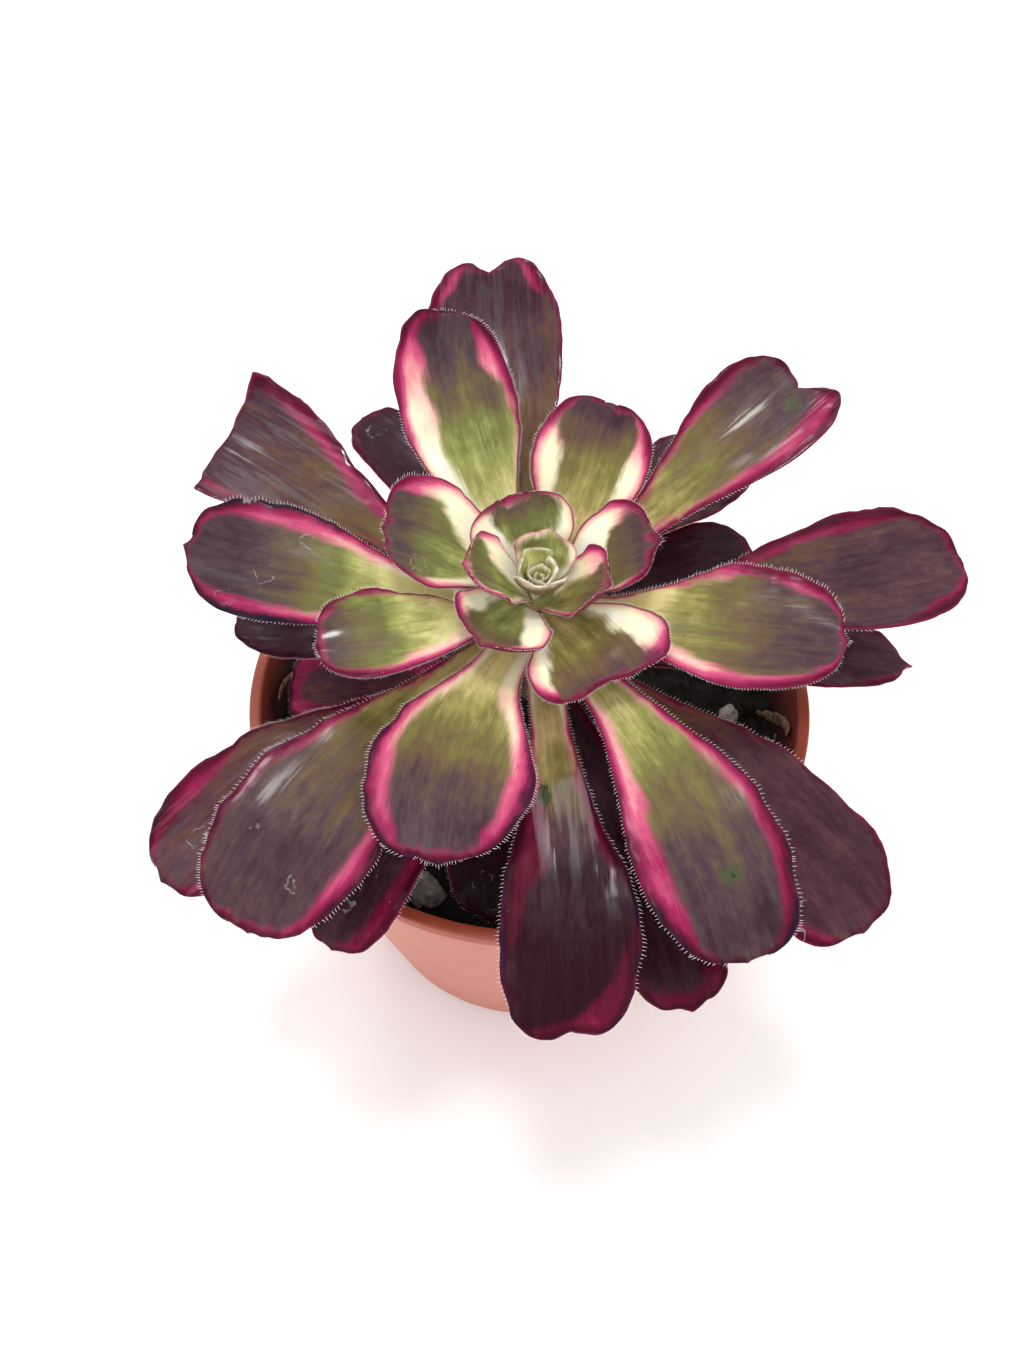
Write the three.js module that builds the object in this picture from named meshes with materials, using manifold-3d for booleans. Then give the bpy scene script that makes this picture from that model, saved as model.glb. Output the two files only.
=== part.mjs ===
// Potted aeonium: a leaning, short-stemmed rosette of fleshy spoon-shaped leaves in a round
// plastic nursery pot. Millimetres and degrees, +Z up, origin at the centre of the pot's underside.
//
// The leaves follow the plant's own rule: each one stands a golden angle round the stem from the
// one before it. They are numbered from the bud outwards, so a higher number is an older leaf.

import * as THREE from "three";
import { mergeVertices } from "three/addons/utils/BufferGeometryUtils.js";
import Module from "manifold-3d";

const wasm = await Module();
wasm.setup();

const rad = THREE.MathUtils.degToRad;
const clamp = THREE.MathUtils.clamp;
const lerp = THREE.MathUtils.lerp;
const smooth = THREE.MathUtils.smoothstep;

// ---------------------------------------------------------------- driving dimensions

const GAP = 0.3; // between two pieces that touch

const POT = {
  rimRadius: 60,
  rimWidth: 2.4,
  rimHeight: 3.2,
  rimStep: 0.9, // how far the wall stands back below the rim
  height: 90,
  footRadius: 42,
  wall: 1.3,
  floor: 1.8,
  drainHoles: 8,
  drainRadius: 3.2,
  drainCircle: 31,
  sides: 48,
};

const SOIL = {
  level: 77,
  bump: 1.1, // height of the surface's swells
  wallGap: 0.45,
  rings: 8,
  sides: 32,
};

const ROSETTE = {
  tip: [1.3, -7.8, 128], // the stem's growing tip
  lean: 12, // the stem's lean towards -Y
  goldenAngle: 137.508,
  firstAzimuth: 47,
};

const STEM = {
  radius: 7.2,
  tipRadius: 0.8,
  taper: 6,
  top: 1.2, // distance down from the growing tip at which the bud takes over
  end: 66, // distance down to the buried end
  sides: 14,
};

const BUD = {
  leaves: 8,
  core: 2.6, // height of the core above the stem's top
  coreRadius: 1.5,
  coreSides: 8,
  length: 10,
  shrink: 0.84, // from one leaf to the next one in
  width: 1.05, // share of the length
  rise: 60, // of the outermost leaf, in degrees
  riseStep: 3, // added for each next one in
  step: 0.15, // height of each leaf's root above the one before
};

// What a leaf has where its row in the table says nothing else.
const LEAF = {
  widest: 0.74, // share of the length at which the blade is widest
  waist: 0.3, // width of the root, as a share of the blade's
  flare: 2.6, // the higher, the later the blade widens
  end: 0.3, // width of the very end, as a share of the blade's
  point: 0.8, // millimetres that the midrib runs past the end, or less than 0 for a notch
  skew: 0, // millimetres that the left shoulder of the end is drawn out
  sweep: 0, // degrees that the blade has bent sideways by its end
  roll: 0, // degrees that the blade has turned about its midrib by its end
  wave: 0.5, // millimetres that the margins swing up and down
  waves: 2.2, // swings along the blade
  rootCup: 34, // degrees that the margins turn up at the root
  edge: 0.9, // thickness of the margin
};

// ---------------------------------------------------------------- the leaves

// One row for each leaf, from the bud outwards:
//   age     its place in the golden-angle spiral, where four that have dropped are missing
//   turn    degrees off that spiral
//   rise    degrees that the root stands above the plane across the stem
//   droop   degrees that the blade has bent down by its end
//   length, width   millimetres
//   cup     degrees that the margins turn up where the blade is widest
const COLUMNS = ["age", "turn", "rise", "droop", "length", "width", "cup"];
const LEAVES = [
  [1, 29, 62, 10, 9.5, 13, 50, { waist: 0.4, flare: 1.2, rootCup: 60, edge: 0.7 }],
  [2, 7, 58, 10, 17, 15, 45, { point: 1.2, waist: 0.33, flare: 1.3, rootCup: 60, edge: 0.7 }],
  [3, 18, 54, 14, 13.5, 17, 45, { waist: 0.55, flare: 1.3, rootCup: 60, edge: 0.7 }],
  [4, 12, 50, 14, 16, 22, 45,
    { point: 0.4, end: 0.2, widest: 0.66, waist: 0.34, flare: 1.5, rootCup: 60, edge: 0.7 }],
  [5, -2, 42, 22, 16, 20, 40, { point: 1.2, waist: 0.32, flare: 1.6, rootCup: 60 }],
  [6, 7, 40, 18, 20, 19.5, 40, { point: 1.6, sweep: -20, waist: 0.28, flare: 1.9, rootCup: 60 }],
  [7, 5, 36, 16, 28, 24, 35, { sweep: 25, waist: 0.34, flare: 2.2, rootCup: 60 }],
  [8, 16, 30, 26, 20.5, 27, 25,
    { end: 0.75, point: -1.6, skew: -1, sweep: -12, waist: 0.4, flare: 2.2, rootCup: 60 }],
  [9, -2, 38, 14, 35, 23, 35, { widest: 0.68, point: 0.2, end: 0.15, skew: 1, sweep: 6 }],
  [10, 3, 32, 32, 38, 18, 30, { sweep: -18 }],
  [11, 1, 18, 12, 50, 25.5, 25, { widest: 0.7, sweep: 9, end: 0.1 }],
  [12, -1, 28, 8, 55, 23.5, 30,
    { widest: 0.64, flare: 3, point: 0.6, end: 0.18, skew: 1.2, sweep: -27 }],
  [13, -16, 16, 18, 48, 29, 15, { widest: 0.68, flare: 3.8, sweep: 28 }],
  [14, 3, 23, 10, 62, 24, 30, { widest: 0.8, flare: 5, point: -3, end: 0.5, skew: -2 }],
  [15, 8, 22, 26, 60.5, 25.5, 25, { flare: 3.6, point: 1.8, end: 0.2, skew: -4, sweep: -20 }],
  [16, -4.5, 14, 20, 68, 26, 10, { flare: 3.4, sweep: -24 }],
  [17, 14, 18, 8, 71, 29, 30,
    { widest: 0.7, flare: 3.4, point: -1.6, end: 0.25, skew: -2.4, sweep: -10 }],
  [18, -4.5, 12, 20, 72, 28, 15, { flare: 4.4, sweep: 30 }],
  [19, 4, 8, 8, 76.5, 27, 20, { widest: 0.76, flare: 4.4, point: 0.4, end: 0.15, sweep: 5 }],
  [20, 8, 10, 8, 69, 31, 25,
    { widest: 0.93, waist: 0.26, flare: 6, point: -0.5, end: 0.95, skew: -4 }],
  [21, -1.5, 10, 20, 70, 24, 5,
    { widest: 0.78, flare: 4.2, point: -0.6, end: 0.35, skew: -1, sweep: -6 }],
  [22, 3, 2, 8, 57, 22, 20, { sweep: -40 }],
  [23, -17, 4, 10, 53, 20, 20, {}],
  [24, -10, 10, 20, 74, 27, 10, { flare: 3.2, sweep: -16 }],
  [25, 10, 2, 8, 62, 18, 20, { sweep: 19 }],
  [26, -10, 10, 20, 64, 17, 10, { sweep: 12 }],
  [27, 15, 0, 8, 46, 17, 20, { sweep: -28 }],
  [29, -4, 12, 20, 68, 22, 10, { flare: 3.2, sweep: -8 }],
  [31, -7, 8, 18, 78, 25, 10, { flare: 3.2, sweep: 22 }],
  [32, 15, 5, 12, 70, 18, 20, { widest: 0.64, flare: 3.2, point: 2, end: 0.1, sweep: -14 }],
  [34, -5, 0, 14, 45, 20, 15, {}],
  [36, 0, -4, 10, 47, 22, 15, {}],
];

const leaves = LEAVES.map((row) => ({
  ...LEAF,
  ...Object.fromEntries(COLUMNS.map((key, i) => [key, row[i]])),
  ...row[COLUMNS.length],
}));

/** Degrees round the stem at which a leaf of a given age stands. */
const azimuthOf = (age) => ROSETTE.firstAzimuth + (age - 1) * ROSETTE.goldenAngle;

/** Distance down the stem from its growing tip to the root of a leaf. */
const rootDepth = (age) => 1.2 + 0.38 * age + 0.018 * age * age;

/** Radius of the stem at a distance down from its growing tip. */
const stemRadius = (down) =>
  lerp(STEM.tipRadius, STEM.radius, 1 - Math.exp(-down / STEM.taper));

// ---------------------------------------------------------------- solids

/** A closed geometry as a manifold-3d solid. */
function solidOf(geometry) {
  const merged = new Skin().take(geometry).geometry();
  return new wasm.Manifold(
    new wasm.Mesh({
      numProp: 3,
      vertProperties: merged.attributes.position.array,
      triVerts: new Uint32Array(merged.index.array),
    }),
  );
}

/** A manifold-3d solid as a geometry. */
function geometryOf(solid) {
  const { numProp, numVert, vertProperties, triVerts } = solid.getMesh();
  const points = new Float32Array(numVert * 3);
  for (let i = 0; i < numVert; i++)
    points.set(vertProperties.subarray(i * numProp, i * numProp + 3), i * 3);
  return new THREE.BufferGeometry()
    .setAttribute("position", new THREE.BufferAttribute(points, 3))
    .setIndex(new THREE.BufferAttribute(triVerts, 1));
}

/** Collects triangles, leaving out those that have shrunk to a line or a point. */
class Skin {
  points = [];

  triangle(a, b, c) {
    const sides = [a.distanceTo(b), b.distanceTo(c), c.distanceTo(a)];
    if (Math.min(...sides) > 1e-4) this.points.push(...a, ...b, ...c);
  }

  quad(a, b, c, d) {
    this.triangle(a, b, c);
    this.triangle(a, c, d);
  }

  /** Adds a three.js geometry's triangles. */
  take(geometry) {
    const flat = geometry.index ? geometry.toNonIndexed() : geometry;
    const place = flat.getAttribute("position");
    const corner = (i) => new THREE.Vector3().fromBufferAttribute(place, i);
    for (let i = 0; i < place.count; i += 3) this.triangle(corner(i), corner(i + 1), corner(i + 2));
    return this;
  }

  geometry() {
    const made = new THREE.BufferGeometry();
    made.setAttribute("position", new THREE.Float32BufferAttribute(this.points, 3));
    return mergeVertices(made, 1e-4);
  }
}

// ---------------------------------------------------------------- the blade of a leaf

/** How far a share `u` of the length lies past the widest place, from 0 there to 1 at the end. */
const pastWidest = (leaf, u) => clamp((u - leaf.widest) / (1 - leaf.widest), 0, 1);

/** Half the blade's width at a share `u` of its length. */
function halfWidth(leaf, u) {
  const flare = Math.sin((Math.PI / 2) * Math.min(1, u / leaf.widest)) ** leaf.flare;
  const round = Math.sqrt(Math.max(0, 1 - pastWidest(leaf, u) ** 2.2));
  return (leaf.width / 2) * lerp(leaf.waist, 1, flare) * lerp(leaf.end, 1, round);
}

/** The midrib as evenly spaced stations, each with its place and its own three directions. */
function midrib(leaf, steps = 40) {
  const stations = [];
  const place = new THREE.Vector3();
  for (let k = 0; k <= steps; k++) {
    const u = k / steps;
    const climb = rad(leaf.rise - leaf.droop * u ** 1.4);
    const heading = rad(leaf.sweep * u ** 1.5);
    const along = new THREE.Vector3(
      Math.cos(climb) * Math.cos(heading),
      Math.cos(climb) * Math.sin(heading),
      Math.sin(climb),
    );
    const side = new THREE.Vector3(-Math.sin(heading), Math.cos(heading), 0);
    side.applyAxisAngle(along, rad(leaf.roll * u));
    const up = new THREE.Vector3().crossVectors(along, side);
    stations.push({ place: place.clone(), along, side, up });
    place.addScaledVector(along, leaf.length / steps);
  }
  return stations;
}

/** A function from (u, s) to the middle of the blade there and the way its upper face looks. */
function bladeOf(leaf) {
  const stations = midrib(leaf);
  const last = stations.length - 1;
  return (u, s) => {
    const at = u * last;
    const k = Math.min(Math.floor(at), last - 1);
    const [a, b] = [stations[k], stations[k + 1]];
    const mix = (key) => a[key].clone().lerp(b[key], at - k);
    const [place, along, side, up] = ["place", "along", "side", "up"].map(mix);
    const half = halfWidth(leaf, u);
    const cup = rad(lerp(leaf.rootCup, leaf.cup, smooth(u, 0, leaf.widest))) + 1e-4;
    const angle = cup * s;
    const swing = leaf.wave * Math.sin(2 * Math.PI * leaf.waves * u + leaf.age + 2 * Math.sign(s));
    const across = (half * Math.sin(angle)) / cup;
    const lift = (half * (1 - Math.cos(angle))) / cup + swing * s * s * smooth(u, 0.2, 0.7);
    const past = pastWidest(leaf, u);
    const lobe = leaf.point * (1 - Math.abs(s)) ** 2 * past ** 3;
    const ahead = lobe + leaf.skew * past * s * (half / (leaf.width / 2));
    place.addScaledVector(side, across).addScaledVector(up, lift).addScaledVector(along, ahead);
    const out = up.multiplyScalar(Math.cos(angle)).addScaledVector(side, -Math.sin(angle));
    return { place, out };
  };
}

// Rows along a leaf and columns across it.
const FACES = { bud: [4, 4], small: [7, 4], large: [9, 6] };
const LARGE_LEAF = 45; // length from which a leaf counts as large

/** The closed skin of one leaf, in its own frame: root at the origin, midrib setting off along +X. */
function bladeGeometry(leaf, [rows, columns]) {
  const blade = bladeOf(leaf);
  const middle = Math.min(2.6, 1 + leaf.length / 40);
  const face = (i, j, way) => {
    const u = 1 - (1 - i / rows) ** 1.35;
    const s = (2 * j) / columns - 1;
    const { place, out } = blade(u, s);
    const thick = lerp(lerp(middle * 1.2, middle * 0.6, u), leaf.edge, Math.abs(s) ** 1.5);
    return place.addScaledVector(out, (way * thick) / 2);
  };
  const skin = new Skin();
  for (let i = 0; i < rows; i++)
    for (let j = 0; j < columns; j++) {
      const cell = [[i, j], [i + 1, j], [i + 1, j + 1], [i, j + 1]];
      const top = cell.map(([a, b]) => face(a, b, 1));
      const bottom = cell.map(([a, b]) => face(a, b, -1));
      skin.quad(...top);
      skin.triangle(bottom[0], bottom[2], bottom[1]);
      skin.triangle(bottom[0], bottom[3], bottom[2]);
    }
  for (let i = 0; i < rows; i++)
    for (const j of [0, columns]) {
      const strip = [face(i, j, 1), face(i, j, -1), face(i + 1, j, -1), face(i + 1, j, 1)];
      skin.quad(...(j ? strip.reverse() : strip));
    }
  for (let j = 0; j < columns; j++) {
    skin.quad(face(0, j, 1), face(0, j + 1, 1), face(0, j + 1, -1), face(0, j, -1));
    skin.quad(face(rows, j, 1), face(rows, j, -1), face(rows, j + 1, -1), face(rows, j + 1, 1));
  }
  return skin.geometry();
}

// ---------------------------------------------------------------- pot, soil, stem and bud

/** A profile of [radius, height] pairs, spun round the Z axis. */
function spun(profile, sides) {
  const points = profile.map(([radius, height]) => new THREE.Vector2(radius, height));
  return new THREE.LatheGeometry(points, sides).rotateX(Math.PI / 2);
}

/** Radius of the pot's inner wall at a height. */
function innerRadius(height) {
  const top = POT.rimRadius - POT.rimWidth;
  const bottom = POT.footRadius - POT.wall;
  return lerp(bottom, top, (height - POT.floor) / (POT.height - POT.floor));
}

/** The pot: a tapered wall under a narrow square rim, with drain holes in its floor. */
function potGeometry() {
  const wallTop = POT.rimRadius - POT.rimStep;
  const chamfer = 0.5;
  const shell = spun(
    [
      [0, 0],
      [POT.footRadius - 1, 0],
      [POT.footRadius, 1],
      [wallTop, POT.height - POT.rimHeight],
      [POT.rimRadius, POT.height - POT.rimHeight + chamfer],
      [POT.rimRadius, POT.height - chamfer],
      [POT.rimRadius - chamfer, POT.height],
      [innerRadius(POT.height), POT.height],
      [innerRadius(POT.floor), POT.floor],
      [0, POT.floor],
    ],
    POT.sides,
  );
  let pot = solidOf(shell);
  for (let i = 0; i < POT.drainHoles; i++) {
    const drain = new THREE.CylinderGeometry(POT.drainRadius, POT.drainRadius, POT.floor * 3, 10);
    const angle = (2 * Math.PI * (i + 0.5)) / POT.drainHoles;
    drain.rotateX(Math.PI / 2);
    drain.translate(POT.drainCircle * Math.cos(angle), POT.drainCircle * Math.sin(angle), 0);
    pot = pot.subtract(solidOf(drain));
  }
  return geometryOf(pot);
}

/** Height of the soil's crumbly surface over a place. */
function soilHeight(x, y) {
  const broad = Math.sin(0.11 * x + 0.6) * Math.cos(0.09 * y - 0.4);
  const fine = Math.sin(0.43 * x + 0.19 * y + 2) * Math.cos(0.38 * y - 0.23 * x);
  return SOIL.level + SOIL.bump * (broad + 0.6 * fine);
}

/** The soil: a plug that fills the pot, with a plain hole for the stem. */
function soilGeometry(stemHole) {
  const bottom = POT.floor + GAP;
  const edge = innerRadius(SOIL.level) - SOIL.wallGap;
  const profile = [
    [0, bottom],
    [innerRadius(bottom) - SOIL.wallGap, bottom],
  ];
  for (let ring = SOIL.rings; ring >= 0; ring--)
    profile.push([(edge * ring) / SOIL.rings, SOIL.level]);
  const plug = spun(profile, SOIL.sides);
  const place = plug.getAttribute("position");
  for (let i = 0; i < place.count; i++)
    if (place.getZ(i) > bottom + 1) place.setZ(i, soilHeight(place.getX(i), place.getY(i)));
  return geometryOf(solidOf(plug).subtract(stemHole));
}

/** The stem in the rosette's frame, made wider by `extra` all round. */
function stemGeometry(extra = 0) {
  const profile = [[0, -STEM.end - extra]];
  const steps = 16;
  for (let k = 0; k <= steps; k++) {
    const down = lerp(STEM.end + extra, STEM.top - extra, (k / steps) ** 0.6);
    profile.push([stemRadius(down) + extra, -down]);
  }
  profile.push([0, -STEM.top + extra]);
  return spun(profile, STEM.sides);
}

/** The bud: the smallest leaves, rooted in a core on the stem's top. */
function budGeometry() {
  const seat = -STEM.top + GAP;
  const core = spun(
    [
      [0, seat],
      [BUD.coreRadius, seat],
      [BUD.coreRadius * 0.85, seat + BUD.core / 2],
      [0, seat + BUD.core],
    ],
    BUD.coreSides,
  );
  let bud = solidOf(core);
  for (let k = 0; k < BUD.leaves; k++) {
    const length = BUD.length * BUD.shrink ** k;
    const leaf = bladeGeometry(
      {
        ...LEAF,
        age: -k,
        rise: BUD.rise + BUD.riseStep * k,
        droop: -8,
        length,
        width: BUD.width * length,
        cup: 50,
        waist: 0.5,
        point: 0.5,
        wave: 0,
      },
      FACES.bud,
    );
    leaf.translate(0.5, 0, seat + 0.4 + BUD.step * k);
    leaf.rotateZ(rad(azimuthOf(-k)));
    bud = bud.add(solidOf(leaf));
  }
  return geometryOf(bud);
}

/** A worn stone of a given size, lying on the soil. */
function stoneGeometry([long, wide, high], seed) {
  const stone = new THREE.IcosahedronGeometry(0.5, 1);
  const place = stone.getAttribute("position");
  const point = new THREE.Vector3();
  for (let i = 0; i < place.count; i++) {
    point.fromBufferAttribute(place, i);
    point.multiplyScalar(1 + 0.16 * Math.sin(7 * point.x + seed) * Math.cos(6 * point.y - seed));
    place.setXYZ(i, point.x * long, point.y * wide, point.z * high);
  }
  return new Skin().take(stone).geometry();
}

// ---------------------------------------------------------------- materials

const finish = (color, roughness) =>
  new THREE.MeshStandardMaterial({ color, roughness, metalness: 0 });

const MATERIALS = {
  pot: finish(0xc9704f, 0.45),
  soil: finish(0x2b211c, 0.95),
  stem: finish(0x7a6a45, 0.7),
  bud: finish(0xb7c46a, 0.45),
  innerLeaf: finish(0x8a8f45, 0.42),
  middleLeaf: finish(0x6b4a45, 0.42),
  outerLeaf: finish(0x43202c, 0.4),
  stone: finish(0x8d8a84, 0.8),
  perlite: finish(0xd9d5c8, 0.85),
};

// ---------------------------------------------------------------- assembly

const plant = new THREE.Group();
const rosette = new THREE.Group();
rosette.position.set(...ROSETTE.tip);
rosette.rotation.x = rad(ROSETTE.lean);
plant.add(rosette);

function addPiece(parent, name, geometry, material) {
  const mesh = new THREE.Mesh(geometry, material);
  mesh.name = name;
  parent.add(mesh);
  return mesh;
}

rosette.updateMatrixWorld(true);
const stemHole = solidOf(stemGeometry(GAP * 1.2).applyMatrix4(rosette.matrixWorld));

addPiece(plant, "pot", potGeometry(), MATERIALS.pot);
addPiece(plant, "soil", soilGeometry(stemHole), MATERIALS.soil);
addPiece(rosette, "stem", new Skin().take(stemGeometry()).geometry(), MATERIALS.stem);
addPiece(rosette, "rosette_heart", budGeometry(), MATERIALS.bud);

leaves.forEach((leaf, index) => {
  const down = rootDepth(leaf.age);
  const azimuth = rad(azimuthOf(leaf.age) + leaf.turn);
  const reach = stemRadius(down) + GAP;
  const faces = leaf.length > LARGE_LEAF ? FACES.large : FACES.small;
  const colour = leaf.age <= 8 ? "innerLeaf" : leaf.age <= 18 ? "middleLeaf" : "outerLeaf";
  const name = `leaf_${String(index + 1).padStart(2, "0")}`;
  const mesh = addPiece(rosette, name, bladeGeometry(leaf, faces), MATERIALS[colour]);
  mesh.position.set(reach * Math.cos(azimuth), reach * Math.sin(azimuth), -down);
  mesh.rotation.z = azimuth;
});

// name, size, place on the soil
const STONES = [
  ["stone", [8, 7, 5], [-21, -45], "stone"],
  ["perlite_1", [5, 4, 3.4], [45, -1], "perlite"],
  ["perlite_2", [4, 3.4, 3], [41, -9], "perlite"],
  ["perlite_3", [4.4, 3.6, 3], [-47, 9], "perlite"],
];

STONES.forEach(([name, size, [x, y], material], index) => {
  const mesh = addPiece(plant, name, stoneGeometry(size, index + 1), MATERIALS[material]);
  mesh.position.set(x, y, soilHeight(x, y) + size[2] / 2 + GAP);
});

export default plant;
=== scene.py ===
"""A variegated aeonium in its nursery pot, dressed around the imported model.

The leaves follow the same rule and the same table as their solids: each stands a golden angle
round the stem from the one before it, and its blade is drawn from a midrib, a width and a cup.
"""

import math
import random

import bmesh
import bpy
from bpy.props import FloatProperty, FloatVectorProperty, IntProperty, PointerProperty
from mathutils import Matrix, Vector, noise


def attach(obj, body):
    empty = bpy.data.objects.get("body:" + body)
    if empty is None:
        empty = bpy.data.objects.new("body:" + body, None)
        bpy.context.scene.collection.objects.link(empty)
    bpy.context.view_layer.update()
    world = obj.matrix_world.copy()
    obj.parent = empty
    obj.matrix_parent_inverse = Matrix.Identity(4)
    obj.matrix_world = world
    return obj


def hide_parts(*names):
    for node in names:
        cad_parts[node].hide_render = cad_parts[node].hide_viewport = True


bl_info = {
    "name": "Potted Aeonium",
    "version": (1, 0, 0),
    "blender": (4, 5, 0),
    "location": "View3D > Sidebar > Aeonium",
    "description": "Dresses a variegated aeonium and its nursery pot",
    "category": "Object",
}

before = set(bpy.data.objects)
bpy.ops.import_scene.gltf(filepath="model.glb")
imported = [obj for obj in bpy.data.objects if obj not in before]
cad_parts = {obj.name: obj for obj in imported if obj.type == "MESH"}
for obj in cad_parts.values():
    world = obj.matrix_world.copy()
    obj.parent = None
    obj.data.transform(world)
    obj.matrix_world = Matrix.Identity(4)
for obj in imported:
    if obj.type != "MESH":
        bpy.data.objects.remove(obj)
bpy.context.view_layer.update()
MM = 0.001

# ------------------------------------------------------------------ the plant's rule, in mm

ROSETTE_TIP = Vector((1.3, -7.8, 128))  # the stem's growing tip
LEAN = 12
GOLDEN_ANGLE = 137.508
FIRST_AZIMUTH = 47
# How far below the tip a leaf is rooted: at age 0, and what its age and its age's square add.
ROOT_DEPTH, ROOT_STEP, ROOT_SPREAD = 1.2, 0.38, 0.018

STEM_RADIUS, STEM_TIP_RADIUS, STEM_TAPER = 7.2, 0.8, 6
STEM_TOP = 1.2

# What a leaf has where its row says nothing else:
#   widest, waist   the share of its length where it is widest, and its root's share of that width
#   flare, end      how late it widens, and how much of that width its very end has
#   point, skew     how far in mm the middle of its end, and its left corner, reach out
#   sweep           by how many degrees it turns sideways
#   wave, waves     the height in mm and the number of its margin's waves
#   root_cup, edge  how cupped its root is in degrees, and its margin's thickness in mm
USUAL_LEAF = dict(
    widest=0.74, waist=0.3, flare=2.6, end=0.3, point=0.8, skew=0, sweep=0,
    wave=0.5, waves=2.2, root_cup=34, edge=0.9,
)

SHAPE_KEYS = ("age", "turn", "rise", "droop", "length", "width", "cup")
LEAF_SHAPES = [
    (1, 29, 62, 10, 9.5, 13, 50, dict(waist=0.4, flare=1.2, root_cup=60, edge=0.7)),
    (2, 7, 58, 10, 17, 15, 45, dict(point=1.2, waist=0.33, flare=1.3, root_cup=60, edge=0.7)),
    (3, 18, 54, 14, 13.5, 17, 45, dict(waist=0.55, flare=1.3, root_cup=60, edge=0.7)),
    (4, 12, 50, 14, 16, 22, 45, dict(point=0.4, end=0.2, widest=0.66, waist=0.34, flare=1.5,
        root_cup=60, edge=0.7)),
    (5, -2, 42, 22, 16, 20, 40, dict(point=1.2, waist=0.32, flare=1.6, root_cup=60)),
    (6, 7, 40, 18, 20, 19.5, 40, dict(point=1.6, sweep=-20, waist=0.28, flare=1.9, root_cup=60)),
    (7, 5, 36, 16, 28, 24, 35, dict(sweep=25, waist=0.34, flare=2.2, root_cup=60)),
    (8, 16, 30, 26, 20.5, 27, 25, dict(end=0.75, point=-1.6, skew=-1, sweep=-12, waist=0.4, flare=2.2,
        root_cup=60)),
    (9, -2, 38, 14, 35, 23, 35, dict(widest=0.68, point=0.2, end=0.15, skew=1, sweep=6)),
    (10, 3, 32, 32, 38, 18, 30, dict(sweep=-18)),
    (11, 1, 18, 12, 50, 25.5, 25, dict(widest=0.7, sweep=9, end=0.1)),
    (12, -1, 28, 8, 55, 23.5, 30, dict(widest=0.64, flare=3, point=0.6, end=0.18, skew=1.2, sweep=-27)),
    (13, -16, 16, 18, 48, 29, 15, dict(widest=0.68, flare=3.8, sweep=28)),
    (14, 3, 23, 10, 62, 24, 30, dict(widest=0.8, flare=5, point=-3, end=0.5, skew=-2)),
    (15, 8, 22, 26, 60.5, 25.5, 25, dict(flare=3.6, point=1.8, end=0.2, skew=-4, sweep=-20)),
    (16, -4.5, 14, 20, 68, 26, 10, dict(flare=3.4, sweep=-24)),
    (17, 14, 18, 8, 71, 29, 30, dict(widest=0.7, flare=3.4, point=-1.6, end=0.25, skew=-2.4,
        sweep=-10)),
    (18, -4.5, 12, 20, 72, 28, 15, dict(flare=4.4, sweep=30)),
    (19, 4, 8, 8, 76.5, 27, 20, dict(widest=0.76, flare=4.4, point=0.4, end=0.15, sweep=5)),
    (20, 8, 10, 8, 69, 31, 25, dict(widest=0.93, waist=0.26, flare=6, point=-0.5, end=0.95, skew=-4)),
    (21, -1.5, 10, 20, 70, 24, 5, dict(widest=0.78, flare=4.2, point=-0.6, end=0.35, skew=-1,
        sweep=-6)),
    (22, 3, 2, 8, 57, 22, 20, dict(sweep=-40)),
    (23, -17, 4, 10, 53, 20, 20, {}),
    (24, -10, 10, 20, 74, 27, 10, dict(flare=3.2, sweep=-16)),
    (25, 10, 2, 8, 62, 18, 20, dict(sweep=19)),
    (26, -10, 10, 20, 64, 17, 10, dict(sweep=12)),
    (27, 15, 0, 8, 46, 17, 20, dict(sweep=-28)),
    (29, -4, 12, 20, 68, 22, 10, dict(flare=3.2, sweep=-8)),
    (31, -7, 8, 18, 78, 25, 10, dict(flare=3.2, sweep=22)),
    (32, 15, 5, 12, 70, 18, 20, dict(widest=0.64, flare=3.2, point=2, end=0.1, sweep=-14)),
    (34, -5, 0, 14, 45, 20, 15, {}),
    (36, 0, -4, 10, 47, 22, 15, {}),
]

# How each leaf is coloured, in the same order. Most values change along the blade and are given at
# a few stations, each a share of the length followed by the value there:
#   left, right   width in mm of the pale band along that margin
#   flush         its colour, from 0 cream over pink and magenta to 1 wine; below 0 it pales
#   dusk          the middle's colour, from 0 green over brown to 1 purple; below 0 it pales
#   gloss         how wet the streaks of sheen look
#   tip           width in mm of the band across the end
#   line          how strong the margin's dark line and the deeper colour beside it are
#   warm          how reddish the middle is
#   scorch        how black the very edge is
#   marks         how many rings the dried drops have left
#   scar          place (share of the length, share of the half width) and radius in mm of a scar
USUAL_COAT = dict(
    left=(0.5, 1), right=(0.5, 1), flush=(0.2, 0.6, 0.9, 0.8), dusk=(0.2, 0.75, 0.7, 1),
    gloss=(0.5, 0.06), tip=1, line=1, warm=0.3, scorch=0.1, marks=0.2, scar=None,
)
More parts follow.
